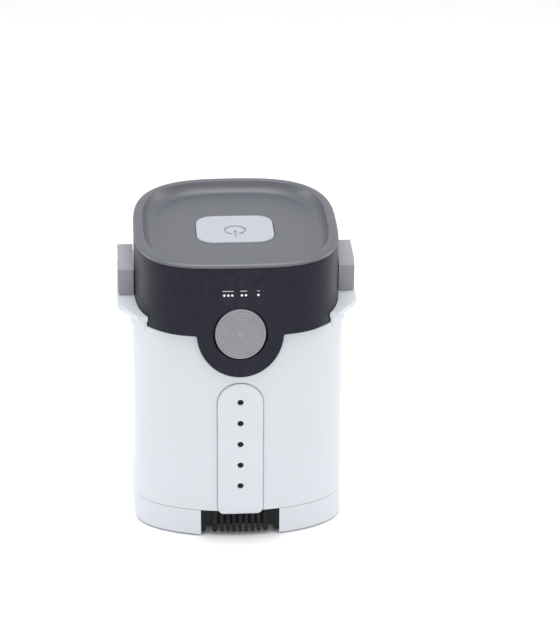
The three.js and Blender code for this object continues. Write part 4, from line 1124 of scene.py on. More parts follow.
class CLEANER_OT_basket(bpy.types.Operator):
    """Filter basket: a slotted frame lined with a woven screen."""
    bl_idname = "cleaner.basket"
    bl_label = "Filter Basket"

    def execute(self, context):
        bottom, top = low("basket_floor").z, high("filter_basket").z
        inset = TANK_HALF_WIDTH - high("filter_basket").x
        wall, slot, rib = 2 * MM, 17 * MM, 8 * MM
        section = filleted([
            (inset + 10 * MM, bottom), (inset, bottom, 1.5 * MM), (inset, top, 0.6 * MM),
            (inset + wall, top, 0.6 * MM), (inset + wall, bottom + wall, 1 * MM),
            (inset + 10 * MM, bottom + wall)])
        frame_piece = swept("basket_frame", lambda i: tank_outline(i, 200), section)
        half_x, half_y, wall_t = INTAKE_HALF_X, INTAKE_HALF_Y, INTAKE_WALL
        flap_y = middle("flap_pin").y
        holes = [prism("hole", rounded_rectangle(half_x + wall_t + 2 * MM, half_y + wall_t + 2 * MM,
                                                 8 * MM), bottom - 1 * MM, bottom + 4 * MM),
                 block("lug_room", (-half_x - 5 * MM, flap_y - 5 * MM, bottom - 1 * MM),
                       (half_x + 5 * MM, flap_y + 5 * MM, bottom + 4 * MM))]
        mid = (bottom + top) / 2
        rows = ((bottom + 15 * MM, mid - rib / 2), (mid + rib / 2, top - 12 * MM))
        front_span = (TANK_HALF_WIDTH - inset - rib) * 0.72
        side_span = TANK_HALF_DEPTH - context.scene.cleaner_sizes.end_depth
        for z0, z1 in rows:
            middle_z, half_z = (z0 + z1) / 2, (z1 - z0) / 2
            for x in spread(front_span, slot + rib):
                shape = rounded_rectangle(slot / 2, half_z, 3 * MM, x, middle_z, 5)
                holes.append(prism("slot", shape, -TANK_HALF_DEPTH, TANK_HALF_DEPTH, "Y"))
            for y in spread(side_span, slot + rib):
                shape = rounded_rectangle(slot / 2, half_z, 3 * MM, y, middle_z, 5)
                holes.append(prism("slot", shape, -TANK_HALF_WIDTH, TANK_HALF_WIDTH, "X"))
        cut(frame_piece, *holes)
        rods, thick, pitch = [], 0.35 * MM, 2.6 * MM
        hoop = [(thick * math.cos(a), thick * math.sin(a))
                for a in (math.pi / 4 + math.pi / 2 * i for i in range(4))]
        for k in range(int((rows[1][1] - rows[0][0]) / pitch)):
            z = rows[0][0] + k * pitch
            ring = [(inset + wall / 2 + u, z + v) for u, v in hoop]
            rods.append(swept("hoop", lambda i: tank_outline(i, 120), ring, closed=True))
        line = tank_outline(inset + wall / 2, 210)
        for x, y in line:
            rods.append(turned("wire", [(thick, rows[0][0]), (thick, rows[1][1])], (x, y),
                               count=4))
        gathered(frame_piece, rods)
        place(frame_piece, "tank", finish_named("basket_plastic"), "basket_plastic",
              "basket_floor", "filter_basket")
        return {"FINISHED"}


class CLEANER_OT_deck_seal(bpy.types.Operator):
    """Rubber seal between the tank's deck and the head."""
    bl_idname = "cleaner.deck_seal"
    bl_label = "Deck Seal"

    def execute(self, context):
        bottom, top = low("deck_seal").z, high("deck_seal").z
        outer, inner = 5.8 * MM, 10.2 * MM
        crest = (outer + inner) / 2
        ring = filleted([
            (crest, bottom), (outer, bottom, 0.3 * MM), (outer, top - 1 * MM, 0.3 * MM),
            (outer + 0.9 * MM, top, 0.6 * MM), (inner - 0.9 * MM, top, 0.6 * MM),
            (inner, top - 1 * MM, 0.3 * MM), (inner, bottom, 0.3 * MM),
            (crest + 0.01 * MM, bottom)])
        piece = swept("deck_gasket", tank_outline, ring, closed=True)
        place(piece, "tank", finish_named("rubber"), "rubber", "deck_seal")
        return {"FINISHED"}


# ------------------------------------------------------------------ latches
class CLEANER_OT_latches(bpy.types.Operator):
    """Side latches with their pads and pins."""
    bl_idname = "cleaner.latches"
    bl_label = "Side Latches"

    def execute(self, context):
        for side, word in ((-1, "left"), (1, "right")):
            node, pin, pad = f"latch_{word}", f"latch_pin_{word}", f"latch_pad_{word}"
            lo, hi = low(node), high(node)
            inner = lo.x if side > 0 else hi.x
            outer = hi.x if side > 0 else lo.x
            pivot_x, pivot_z = middle(pin).x, middle(pin).z
            eye = abs(outer - pivot_x)
            profile = [(inner, lo.z), (pivot_x, lo.z)]
            profile += [(pivot_x + side * eye * math.sin(a), pivot_z - eye * math.cos(a))
                        for a in (math.pi / 2 * i / 8 for i in range(1, 9))]
            profile += [(outer, hi.z), (inner, hi.z)]
            body = prism("body", profile, lo.y, hi.y, "Y")
            bevel = 5.6 * MM
            side_view = [(lo.y, lo.z), (hi.y, lo.z), (hi.y, hi.z), (lo.y + bevel, hi.z),
                         (lo.y, hi.z - bevel)]
            reach = sorted((inner - side * MM, outer + side * MM))
            boolean(body, [prism("view", side_view, *reach, "X")], "INTERSECT")
            half = 4.6 * MM
            mid = (lo.y + hi.y) / 2
            slot_x = sorted((pivot_x - side * (eye + 0.6 * MM), outer + side * MM))
            slot = block("slot", (slot_x[0], mid - half, lo.z - 1 * MM),
                         (slot_x[1], mid + half, pivot_z + eye + 0.6 * MM))
            cut(body, slot)
            rounded(body, 0.7 * MM, 3)
            pocket_x = sorted((inner - side * MM, inner + side * 1.4 * MM))
            cut(body, along_y(LATCH_HOLE, lo.y + 6 * MM, hi.y - 6 * MM, pivot_x, pivot_z, count=24),
                block("pocket", (pocket_x[0], low(pad).y - 0.3 * MM, low(pad).z - 0.3 * MM),
                      (pocket_x[1], high(pad).y + 0.3 * MM, high(pad).z + 0.3 * MM)))
            body.name = f"side_latch_{word}"
            place(body, f"{word}_latch", finish_named("latch_grey"), "latch_grey", node)
            pad_piece = rounded(block(f"grip_pad_{word}", tuple(low(pad)), tuple(high(pad))),
                                0.3 * MM, 2)
            place(pad_piece, f"{word}_latch", finish_named("rubber"), "rubber", pad)
            axle = capped(f"latch_axle_{word}",
                          lambda inset: circle(1.3 * MM - inset, pivot_x, pivot_z, 24),
                          low(pin).y, high(pin).y, 0.3 * MM, "Y")
            place(axle, BODY_OF[pin], finish_named("steel"), "steel", pin)
        return {"FINISHED"}


# ------------------------------------------------------------------ head
def head_front(x, inset=0.0):
    """The Y of the head's front at x."""
    power = bpy.context.scene.cleaner_sizes.squareness
    across = abs(x) / (HEAD_HALF_WIDTH - inset)
    return -(HEAD_HALF_DEPTH - inset) * (1 - across ** power) ** (1 / power)


def tongue_edge():
    """Lower edge of the head's front, left to right: (x, z) and the way into the wall."""
    sizes = bpy.context.scene.cleaner_sizes
    a, b = sizes.apron_width / 2, sizes.apron_height / 2
    turn = 1.6 * MM
    start = math.asin((HEAD_BOTTOM - turn - MODE_CENTRE) / b)
    side_x = a * math.cos(start)
    reach = side_x + turn
    right = [(reach + 3 * MM, HEAD_BOTTOM, 0.0, 1.0)]
    for i in range(7):
        angle = math.pi / 2 + math.pi / 2 * i / 6
        right.append((reach + turn * math.cos(angle), HEAD_BOTTOM - turn + turn * math.sin(angle),
                      math.cos(angle), math.sin(angle)))
    count = 110
    sweep = []
    for i in range(1, count):
        angle = start + (-math.pi - 2 * start) * i / count
        x, z = a * math.cos(angle), MODE_CENTRE + b * math.sin(angle)
        way = Vector((-math.cos(angle) / a, -math.sin(angle) / b)).normalized()
        sweep.append((x, z, way.x, way.y))
    left = [(-x, z, -nx, nz) for x, z, nx, nz in right]
    return left + sweep[::-1] + right[::-1]


def head_wall(sizes):
    """Wall, floor and tongue of the head as one skin."""
    edge = tongue_edge()
    reach = edge[-1][0]
    turn_start = -math.acos((reach / HEAD_HALF_WIDTH) ** (sizes.squareness / 2))
    angles = even_head_angles(turn_start, math.pi - turn_start, 240)[1:]
    wall, floor_top, top = 3 * MM, HEAD_FLOOR, high("head_housing").z
    soft = 1.3 * MM
    tongue_back = -TANK_HALF_DEPTH - 0.4 * MM

    def level(inset, z):
        ring = [(x * (1 - inset / HEAD_HALF_WIDTH), head_front(x * (1 - inset / HEAD_HALF_WIDTH),
                                                               inset), z) for x, *_ in edge]
        return ring + [(*head_point(angle, inset), z) for angle in angles]

    def rounded_edge(part):
        rise, depth = soft * (1 - math.sin(part)), soft * (1 - math.cos(part))
        ring = [(x + nx * rise, head_front(x + nx * rise) + depth, z + nz * rise)
                for x, z, nx, nz in edge]
        return ring + [(*head_point(angle, depth), HEAD_BOTTOM + rise) for angle in angles]

    def behind_tongue(at_edge):
        ring = []
        for x, z, *_ in edge:
            y = max(tongue_back, head_front(x) + soft)
            ring.append((x, y, z if at_edge else HEAD_BOTTOM))
        return ring + [(*head_point(angle, soft), HEAD_BOTTOM) for angle in angles]

    lip = 0.4 * MM
    rings = [level(wall, floor_top), level(wall, top - lip), level(wall - lip, top),
             level(lip * 1.5, top), level(lip * 0.5, top - lip * 0.4), level(0.0, top - lip * 1.5)]
    rings += [rounded_edge(math.pi / 2 * i / 6) for i in range(7)]
    rings += [behind_tongue(True), behind_tongue(False)]
    piece = loft("head_shell", rings)
    work = bmesh.new()
    work.from_mesh(piece.data)
    bmesh.ops.remove_doubles(work, verts=work.verts, dist=0.001 * MM)
    bmesh.ops.dissolve_degenerate(work, dist=0.001 * MM, edges=work.edges)
    bmesh.ops.recalc_face_normals(work, faces=work.faces)
    work.to_mesh(piece.data)
    work.free()
    return piece


def well_cutter():
    """The mode button's hole, with a rounded mouth that follows the head's front."""
    gap, soft = 1.0 * MM, 0.5 * MM
    rings = [on_axis(mode_oval(gap + soft), -HEAD_HALF_DEPTH - 2 * MM, "Y")]
    for i in range(5):
        part = math.pi / 2 * i / 4
        rings.append([(x, head_front(x) + soft * math.sin(part), z)
                      for x, z in mode_oval(gap + soft * (1 - math.sin(part)))])
    rings.append(on_axis(mode_oval(gap), -HEAD_HALF_DEPTH + WELL_DEPTH, "Y"))
    return loft("well", rings)


LAMPS = (-15.0, -11.3, -7.7, 1.2, 4.9, 16.4)
MARKS = ((-16.6, -6.4), (-0.2, 6.1), (15.1, 17.8))


def lamp_height():
    return low("light_guide").z + 4 * MM


def mark_height():
    return high("light_guide").z - 4 * MM


class CLEANER_OT_head(bpy.types.Operator):
    """Head housing with its front tongue, button well, lamp holes and rear panel."""
    bl_idname = "cleaner.head"
    bl_label = "Head Housing"

    def execute(self, context):
        sizes = context.scene.cleaner_sizes
        piece = head_wall(sizes)
        front, back = -HEAD_HALF_DEPTH, HEAD_HALF_DEPTH
        floor_top = HEAD_FLOOR
        cup = prism("cup", mode_oval(3 * MM), front + 1 * MM, front + WELL_DEPTH + WELL_FLOOR, "Y")
        panel_half, panel_depth, backing = 38 * MM, 4.2 * MM, 3 * MM
        rear_floor = back - panel_depth
        panel_low = low("outlet_grille").z - 1.5 * MM
        panel_top = high("port_cover").z + 2.5 * MM
        panel_back = block("back", (-panel_half - backing, rear_floor - backing,
                                    floor_top - 0.3 * MM),
                           (panel_half + backing, rear_floor + 1 * MM, panel_top + backing))
        cut(join(piece, cup), well_cutter())
        join(piece, panel_back)
        sunken = capped("sunken", lambda inset: rounded_rectangle(
            panel_half - inset, (panel_top - panel_low) / 2 - inset, 4 * MM - inset, 0.0,
            (panel_top + panel_low) / 2), rear_floor, back + 6 * MM, 0.8 * MM, "Y")
        cut(piece, sunken)
        button = middle("mode_switch").z
        grille_low, grille_top = low("outlet_grille").z, high("outlet_grille").z
        neck_half = 28.3 * MM
        port_z = middle("port_socket").z
        duct = (low("outlet_duct").x - 0.3 * MM, high("outlet_duct").x + 0.3 * MM)
        duct_y = low("outlet_duct").y
        cutters = [
            along_y(4.4 * MM, front, front + 8 * MM, 0.0, button, count=40),
            block("window", (-neck_half, rear_floor - 8 * MM, grille_low + 3.7 * MM),
                  (neck_half, back, grille_top - 3.7 * MM)),
            along_y(6.3 * MM, rear_floor - 8 * MM, back, 0.0, port_z),
            block("riser", (duct[0], duct_y - 0.3 * MM, HEAD_BOTTOM - 1 * MM),
                  (duct[1], duct_y + 16.3 * MM, floor_top + 1 * MM))]
        cutters += [along_y(1.4 * MM, front - 2 * MM, front + 5 * MM, x * MM, lamp_height(),
                            count=28) for x in LAMPS]
        half_mark = 0.45 * MM
        for x0, x1 in MARKS:
            shape = rounded_rectangle((x1 - x0) / 2 * MM + 0.2 * MM, half_mark, 0.4 * MM,
                                      (x0 + x1) / 2 * MM, mark_height(), 4)
            cutters.append(prism("mark", shape, front - 2 * MM, front + 5 * MM, "Y"))
        for i in range(4):
            x, y = middle(f"pod_screw_{i + 1}").x, middle(f"pod_screw_{i + 1}").y
            cutters.append(upright(SCREW_HOLE, HEAD_BOTTOM - 1 * MM, HEAD_BOTTOM + 2.4 * MM, x, y,
                                   count=20))
        cut(piece, *cutters)
        board = low("control_board")
        for sign_x in (-1, 1):
            for sign_y in (-1, 1):
                post = turned("post", [(3.6 * MM, floor_top - 0.3 * MM), (3 * MM, floor_top + 2 * MM),
                                       (3 * MM, board.z - 0.3 * MM)],
                              (sign_x * (abs(board.x) - 6 * MM), sign_y * (abs(board.y) - 6 * MM)),
                              count=32)
                join(piece, post)
        pivot_y, pivot_z = middle("port_pin").y, middle("port_pin").z
        for side in (-1, 1):
            x0, x1 = sorted((side * 13.3 * MM, side * 16.3 * MM))
            eye = capped("eye", lambda inset: circle(1.6 * MM - inset, pivot_y, pivot_z, 28),
                         x0, x1, 0.2 * MM, "X")
            web = block("web", (x0, rear_floor - 1.5 * MM, pivot_z - 1.6 * MM),
                        (x1, pivot_y, pivot_z + 1.6 * MM))
            join(piece, cut(join(eye, web), along_x(PORT_HOLE, x0 - 1 * MM, x1 + 1 * MM, pivot_y,
                                                    pivot_z, count=20)))
        piece.name = "head_shell"
        place(piece, "head", finish_named("charcoal"), "charcoal", "head_housing")
        return {"FINISHED"}


class CLEANER_OT_lamps(bpy.types.Operator):
    """Light guide whose pegs and bars show in the head's front."""
    bl_idname = "cleaner.lamps"
    bl_label = "Lamps"

    def execute(self, context):
        front = -HEAD_HALF_DEPTH
        lo, hi = low("light_guide"), high("light_guide")
        plate_y = front + 3.5 * MM
        piece = rounded(block("guide", (lo.x, plate_y, lo.z), (hi.x, hi.y, hi.z)), 0.4 * MM)
        for x in LAMPS:
            face = head_front(x * MM) - 0.05 * MM
            section = [(0.8 * MM, face), (1.1 * MM, face + 0.08 * MM), (1.2 * MM, face + 0.3 * MM),
                       (1.2 * MM, plate_y + 0.3 * MM)]
            join(piece, turned("peg", section, (x * MM, lamp_height()), "Y", 28))
        for x0, x1 in MARKS:
            half = (x1 - x0) / 2 * MM
            x = (x0 + x1) / 2 * MM
            join(piece, capped("bar", rectangle_rings(half, 0.22 * MM, 0.21 * MM, x,
                                                      mark_height()),
                               front - 0.02 * MM, plate_y + 0.3 * MM, 0.08 * MM, "Y"))
        piece.name = "lamp_guide"
        place(piece, "head", finish_named("lamp"), "lamp", "light_guide")
        return {"FINISHED"}


class CLEANER_OT_cover(bpy.types.Operator):
    """Top cover with its rounded rim, hollow cove and tray, and the gasket under it."""
    bl_idname = "cleaner.cover"
    bl_label = "Top Cover"

    def execute(self, context):
        sizes = context.scene.cleaner_sizes
        round_, cove, flat = sizes.rim_rounding, sizes.cove_width, 1.2 * MM
        seat, under = COVER_SEAT, low("top_cover").z
        section = filleted([(seat + 1 * MM, under), (seat, under, 0.5 * MM),
                            (seat, PARTING_LINE, 0.3 * MM), (0.5 * MM, PARTING_LINE)])
        section += quarter(0.5 * MM, PARTING_LINE, 0.1 * MM, PARTING_LINE + 0.4 * MM, 3, True)
        section += quarter(0.1 * MM, PARTING_LINE + 0.4 * MM, round_, RIM_TOP, 12)
        inner = round_ + flat
        crest = 1.6 * MM
        steep = math.radians(50)
        for i in range(1, 9):
            angle = steep * i / 8
            section.append((inner + crest * math.sin(angle) * 1.4,
                            RIM_TOP - crest * (1 - math.cos(angle)) * 1.4))
        start_inset, start_z = section[-1]
        drop = start_z - TRAY_TOP
        for i in range(1, 15):
            angle = steep * (1 - i / 14)
            reach = (math.sin(steep) - math.sin(angle)) / math.sin(steep)
            fall = (math.cos(angle) - math.cos(steep)) / (1 - math.cos(steep))
            section.append((start_inset + cove * reach, start_z - drop * fall))
        section.append((section[-1][0] + 2 * MM, TRAY_TOP))
        piece = swept("cover_tray", head_outline, section)
        half_x = high("power_button").x - KEY_FLANGE
        half_y = high("power_button").y - KEY_FLANGE
        gap, soft, corner = 0.6 * MM, 0.45 * MM, KEY_CORNER
        hole = [(0.0, under - 1 * MM), (0.0, TRAY_TOP - soft)]
        hole += [(-soft * (1 - math.cos(a)), TRAY_TOP - soft + soft * math.sin(a))
                 for a in (math.pi / 2 * i / 4 for i in range(1, 5))]
        hole.append((-soft, TRAY_TOP + 1 * MM))
        opening = swept("opening", rectangle_rings(half_x + gap, half_y + gap, corner + gap), hole)
        cut(piece, opening)
        place(piece, "head", finish_named("tray_grey"), "tray_grey", "top_cover")

        lo, hi = low("cover_gasket"), high("cover_gasket")
        outer, inner = COVER_SEAT, 6.3 * MM
        ring = filleted([(4.5 * MM, lo.z), (outer, lo.z, 0.6 * MM), (outer, hi.z, 0.6 * MM),
                         (inner, hi.z, 0.6 * MM), (inner, lo.z, 0.6 * MM), (4.6 * MM, lo.z)])
        gasket = swept("cover_seal", head_outline, ring, closed=True)
        place(gasket, "head", finish_named("rubber"), "rubber", "cover_gasket")
        return {"FINISHED"}


class CLEANER_OT_power_button(bpy.types.Operator):
    """Large power button in the tray, with a sunken standby sign."""
    bl_idname = "cleaner.power_button"
    bl_label = "Power Button"

    def execute(self, context):
        lo, hi = low("power_button"), high("power_button")
        flange = KEY_FLANGE
        half_x, half_y, corner = hi.x - flange, hi.y - flange, KEY_CORNER
        flange_top = low("top_cover").z - 0.3 * MM
        flange_low = flange_top - 2.6 * MM
        soft = 1.1 * MM
        section = [(2 * MM, flange_low), (-flange + 0.3 * MM, flange_low),
                   (-flange, flange_low + 0.3 * MM), (-flange, flange_top - 0.3 * MM),
                   (-flange + 0.3 * MM, flange_top), (0.0, flange_top), (0.0, hi.z - soft)]
        section += quarter(0.0, hi.z - soft, soft, hi.z, 8)
        section += [(4 * MM, hi.z - 0.05 * MM), (9 * MM, hi.z - 0.28 * MM),
                    (15.5 * MM, hi.z - 0.45 * MM)]
        piece = swept("power_key", rectangle_rings(half_x, half_y, corner), section)
        post = turned("post", [(5.6 * MM, lo.z), (6 * MM, lo.z + 0.4 * MM),
                               (6 * MM, flange_low + 0.5 * MM)])
        join(piece, post)
        radius, half_line, floor = 9.6 * MM, 1.1 * MM, hi.z - 1.9 * MM
        centre, over = -2.6 * MM, hi.z + 1 * MM
        groove = upright(radius + half_line, floor, over, 0.0, centre, count=96)
        cut(groove, upright(radius - half_line, floor - 1 * MM, over + 1 * MM, 0.0, centre,
                            count=96),
            block("break", (-3.4 * MM, centre - 15 * MM, floor - 1 * MM),
                  (3.4 * MM, centre, over + 1 * MM)))
        stroke = prism("stroke", rounded_rectangle(half_line, 8 * MM, half_line * 0.98, 0.0,
                                                   centre - 9.4 * MM, 8), floor, over)
        cut(piece, groove, stroke)
        place(piece, "power_key", finish_named("button_grey"), "button_grey", "power_button")

        dome = high("power_dome")
        base, radius = low("power_dome").z, dome.x
        shape = [(radius - 0.3 * MM, base), (radius, base + 0.3 * MM), (radius, base + 1 * MM),
                 (radius - 1.2 * MM, base + 1.6 * MM), (5.5 * MM, dome.z - 1.2 * MM),
                 (5 * MM, dome.z - 0.2 * MM), (4.6 * MM, dome.z)]
        bumper = turned("key_dome", shape)
        place(bumper, "head", finish_named("rubber"), "rubber", "power_dome")
        return {"FINISHED"}


class CLEANER_OT_mode_button(bpy.types.Operator):
    """Oval mode button with its rings, its post and the switch behind it."""
    bl_idname = "cleaner.mode_button"
    bl_label = "Mode Button"

    def execute(self, context):
        sizes = context.scene.cleaner_sizes
        lo, hi = low("mode_button"), high("mode_button")
        centre = (lo.z + hi.z) / 2
        front, thick, height = lo.y, 3.3 * MM, 0.65 * MM
        half_x = hi.x - 0.8 * MM

        def outline(share):
            return oval(2 * half_x * share, (hi.z - lo.z) * share, 0.0, centre, 120)

        rings = [on_axis(outline(0.98), front + thick, "Y"), on_axis(outline(1.0),
                 front + thick - 0.4 * MM, "Y"), on_axis(outline(1.0), front + 0.9 * MM, "Y")]
        rim, steps = 0.955, 10
        for i in range(1, 6):
            part = math.pi / 2 * i / 5
            rings.append(on_axis(outline(1 - (1 - rim) * (1 - math.cos(part))),
                                 front + 0.9 * MM * (1 - math.sin(part)), "Y"))
        last = 0.115
        for ridge in range(sizes.ridges):
            for k in range(1, steps + 1):
                share = rim - (rim - last) * (ridge + k / steps) / sizes.ridges
                swell = abs(math.cos(math.pi * k / steps)) ** 0.75
                rings.append(on_axis(outline(share), front + height * (1 - swell), "Y"))
        rings.append(on_axis(outline(last * 0.55), front + height * 0.55, "Y"))
        rings.append(on_axis(outline(0.01), front + height * 0.7, "Y"))
        piece = loft("mode_key", rings)
        post_z = middle("mode_switch").z
        gathered(piece, [capped("post", lambda inset: circle(4 * MM - inset, 0.0, post_z, 40),
                                front + thick - 0.05 * MM, hi.y, 0.04 * MM, "Y")])
        place(piece, "mode_key", finish_named("mode_grey"), "mode_grey", "mode_button")

        start = low("mode_switch").y
        shape = [(2.9 * MM, start), (3.4 * MM, start + 0.4 * MM), (3.4 * MM, start + 1.5 * MM),
                 (5.6 * MM, start + 1.5 * MM), (6 * MM, start + 1.9 * MM),
                 (6 * MM, start + 3.6 * MM), (5.6 * MM, start + 4 * MM)]
        plunger = turned("touch_switch", shape, (0.0, post_z), "Y", 40)
        place(plunger, "head", finish_named("black_plastic"), "black_plastic", "mode_switch")
        return {"FINISHED"}


# ------------------------------------------------------------------ rear of the head
class CLEANER_OT_outlet(bpy.types.Operator):
    """Water outlet: grille in the rear panel and the duct that feeds it."""
    bl_idname = "cleaner.outlet"
    bl_label = "Outlet"

    def execute(self, context):
        lo, hi = low("outlet_grille"), high("outlet_grille")
        half_z, mid_z = (hi.z - lo.z) / 2, (hi.z + lo.z) / 2
        face, reach = HEAD_HALF_DEPTH - 3.9 * MM, hi.y
        soft = 1.6 * MM
        section = [(0.3 * MM, face), (0.0, face + 0.3 * MM), (0.0, reach - soft)]
        section += quarter(0.0, reach - soft, soft, reach, 8)
        piece = swept("outlet_bezel", rectangle_rings(hi.x, half_z, 6 * MM, 0.0, mid_z), section,
                      "Y")
        neck_x, neck_z, bar, slots = 28 * MM, half_z - 4 * MM, 2.4 * MM, 7
        join(piece, block("neck", (-neck_x, lo.y, mid_z - neck_z),
                          (neck_x, face + 1 * MM, mid_z + neck_z)))
        pitch = (2 * neck_x - bar) / slots
        for i in range(slots):
            x = -neck_x + bar + i * pitch + (pitch - bar) / 2
            half = (pitch - bar) / 2
            flare = [(0.0, lo.y - 4 * MM), (0.0, reach - 0.9 * MM)]
            flare += [(-0.8 * MM * (1 - math.cos(a)), reach - 0.9 * MM + 0.9 * MM * math.sin(a))
                      for a in (math.pi / 2 * k / 5 for k in range(1, 6))]
            flare.append((-0.8 * MM, reach + 1 * MM))
            cut(piece, swept("slot", rectangle_rings(half, neck_z - bar, 2.2 * MM, x, mid_z),
                             flare, "Y"))
        place(piece, "head", finish_named("charcoal"), "charcoal", "outlet_grille")

        duct = refined("outlet_duct", "outlet_channel", 0.8 * MM)
        place(duct, "head", finish_named("black_plastic"), "black_plastic", "outlet_duct")
        return {"FINISHED"}


class CLEANER_OT_port(bpy.types.Operator):
    """Charging socket, its hinged rubber cover and the hinge pin."""
    bl_idname = "cleaner.port"
    bl_label = "Charging Port"

    def execute(self, context):
        lo, hi = low("port_cover"), high("port_cover")
        half_x, mid_z = hi.x, (high("port_cover").z + middle("port_pin").z) / 2
        half_z = hi.z - mid_z
        pivot_y, pivot_z = middle("port_pin").y, middle("port_pin").z
        eye = pivot_z - lo.z
        soft = 0.8 * MM
        section = [(soft, lo.y), (0.0, lo.y + 0.3 * MM), (0.0, hi.y - soft)]
        section += quarter(0.0, hi.y - soft, soft, hi.y, 6)
        section += [(2.2 * MM, hi.y), (2.5 * MM, hi.y - 0.35 * MM), (2.95 * MM, hi.y - 0.35 * MM)]
        piece = swept("port_flap", rectangle_rings(half_x, half_z, 3 * MM, 0.0, mid_z), section,
                      "Y")
        join(piece, capped("eye", lambda inset: circle(eye - inset, pivot_y, pivot_z, 32),
                           -half_x, half_x, 0.3 * MM, "X"),
             rounded(block("foot", (-half_x, lo.y, pivot_z), (half_x, hi.y - 0.35 * MM,
                                                              pivot_z + 4 * MM)), 0.2 * MM))
        tab = capped("tab", rectangle_rings(4 * MM, 0.9 * MM, 0.8 * MM, 0.0, hi.z - 2.6 * MM),
                     hi.y - 1 * MM, hi.y + 0.6 * MM, 0.4 * MM, "Y")
        join(piece, tab)
        cut(piece, along_x(PORT_HOLE, -half_x - 1 * MM, half_x + 1 * MM, pivot_y, pivot_z,
                           count=20))
        place(piece, "port_lid", finish_named("rubber"), "rubber", "port_cover")

        pin = capped("port_axle", lambda inset: circle(0.8 * MM - inset, pivot_y, pivot_z, 20),
                     low("port_pin").x, high("port_pin").x, 0.2 * MM, "X")
        place(pin, "head", finish_named("steel"), "steel", "port_pin")

        socket_lo, socket_hi, z = low("port_socket").y, high("port_socket").y, middle("port_socket").z
        bore = 4.4 * MM
        shape = [(5.6 * MM, socket_lo), (6 * MM, socket_lo + 0.4 * MM),
                 (6 * MM, socket_hi - 0.3 * MM), (5.7 * MM, socket_hi), (bore + 0.3 * MM, socket_hi),
                 (bore, socket_hi - 0.4 * MM), (bore, socket_lo + 5 * MM),
                 (1 * MM, socket_lo + 5 * MM), (1 * MM, socket_hi - 1 * MM),
                 (0.5 * MM, socket_hi - 0.7 * MM)]
        socket = turned("charge_socket", shape, (0.0, z), "Y", 48)
        place(socket, "head", finish_named("steel"), "steel", "port_socket")
        return {"FINISHED"}


# ------------------------------------------------------------------ inside the head
class CLEANER_OT_board(bpy.types.Operator):
    """Control board with its parts and screw heads."""
    bl_idname = "cleaner.board"
    bl_label = "Control Board"

    def execute(self, context):
        lo, hi = low("control_board"), high("control_board")
        piece = capped("main_board", rectangle_rings(hi.x, hi.y, 4 * MM), lo.z, hi.z, 0.15 * MM)
        parts = [(-34, 18, 9, 9, 1.4), (-34, -14, 6, 4, 1.6), (-10, 24, 5, 3, 2.2),
                 (30, 20, 7, 7, 1.2), (42, -8, 5, 8, 3.4), (24, -22, 8, 3, 4.0),
                 (-16, -26, 4, 4, 1.8), (12, 26, 3, 2, 1.4), (-48, 4, 3, 7, 3.0)]
        for x, y, half_x, half_y, height in parts:
            chip = block("chip", ((x - half_x) * MM, (y - half_y) * MM, hi.z - 0.2 * MM),
                         ((x + half_x) * MM, (y + half_y) * MM, hi.z + height * MM))
            join(piece, rounded(chip, 0.3 * MM))
        corner_x, corner_y = hi.x - 6 * MM, hi.y - 6 * MM
        for x, y in ((-1, -1), (1, -1), (-1, 1), (1, 1)):
            join(piece, turned("screw_head", [(2.8 * MM, hi.z - 0.2 * MM), (2.8 * MM, hi.z + 0.8 * MM),
                                              (1.8 * MM, hi.z + 1.5 * MM)],
                               (x * corner_x, y * corner_y), count=28))
        place(piece, "head", finish_named("circuit_board"), "circuit_board", "control_board")
        return {"FINISHED"}


class CLEANER_OT_cells(bpy.types.Operator):
    """Battery cells in their tray."""
    bl_idname = "cleaner.cells"
    bl_label = "Battery Cells"

    def execute(self, context):
        for i in range(4):
            node = f"cell_{i + 1}"
            lo, hi = low(node), high(node)
            radius = (hi.x - lo.x) / 2
            x, z = middle(node).x, hi.z - radius
            section = [(radius - 0.9 * MM, lo.y), (radius, lo.y + 0.8 * MM),
                       (radius, hi.y - 3.2 * MM), (radius - 0.5 * MM, hi.y - 2.7 * MM),
                       (radius - 0.5 * MM, hi.y - 2.2 * MM), (radius, hi.y - 1.7 * MM),
                       (radius - 0.8 * MM, hi.y - 0.9 * MM), (3.2 * MM, hi.y - 0.9 * MM),
                       (3.0 * MM, hi.y)]
            piece = turned(f"battery_{i + 1}", section, (x, z), "Y", 56)
            place(piece, "head", finish_named("cell_sleeve"), "cell_sleeve", node)
        holder = refined("cell_tray", "battery_holder", 0.5 * MM)
        place(holder, "head", finish_named("black_plastic"), "black_plastic", "cell_tray")
        return {"FINISHED"}


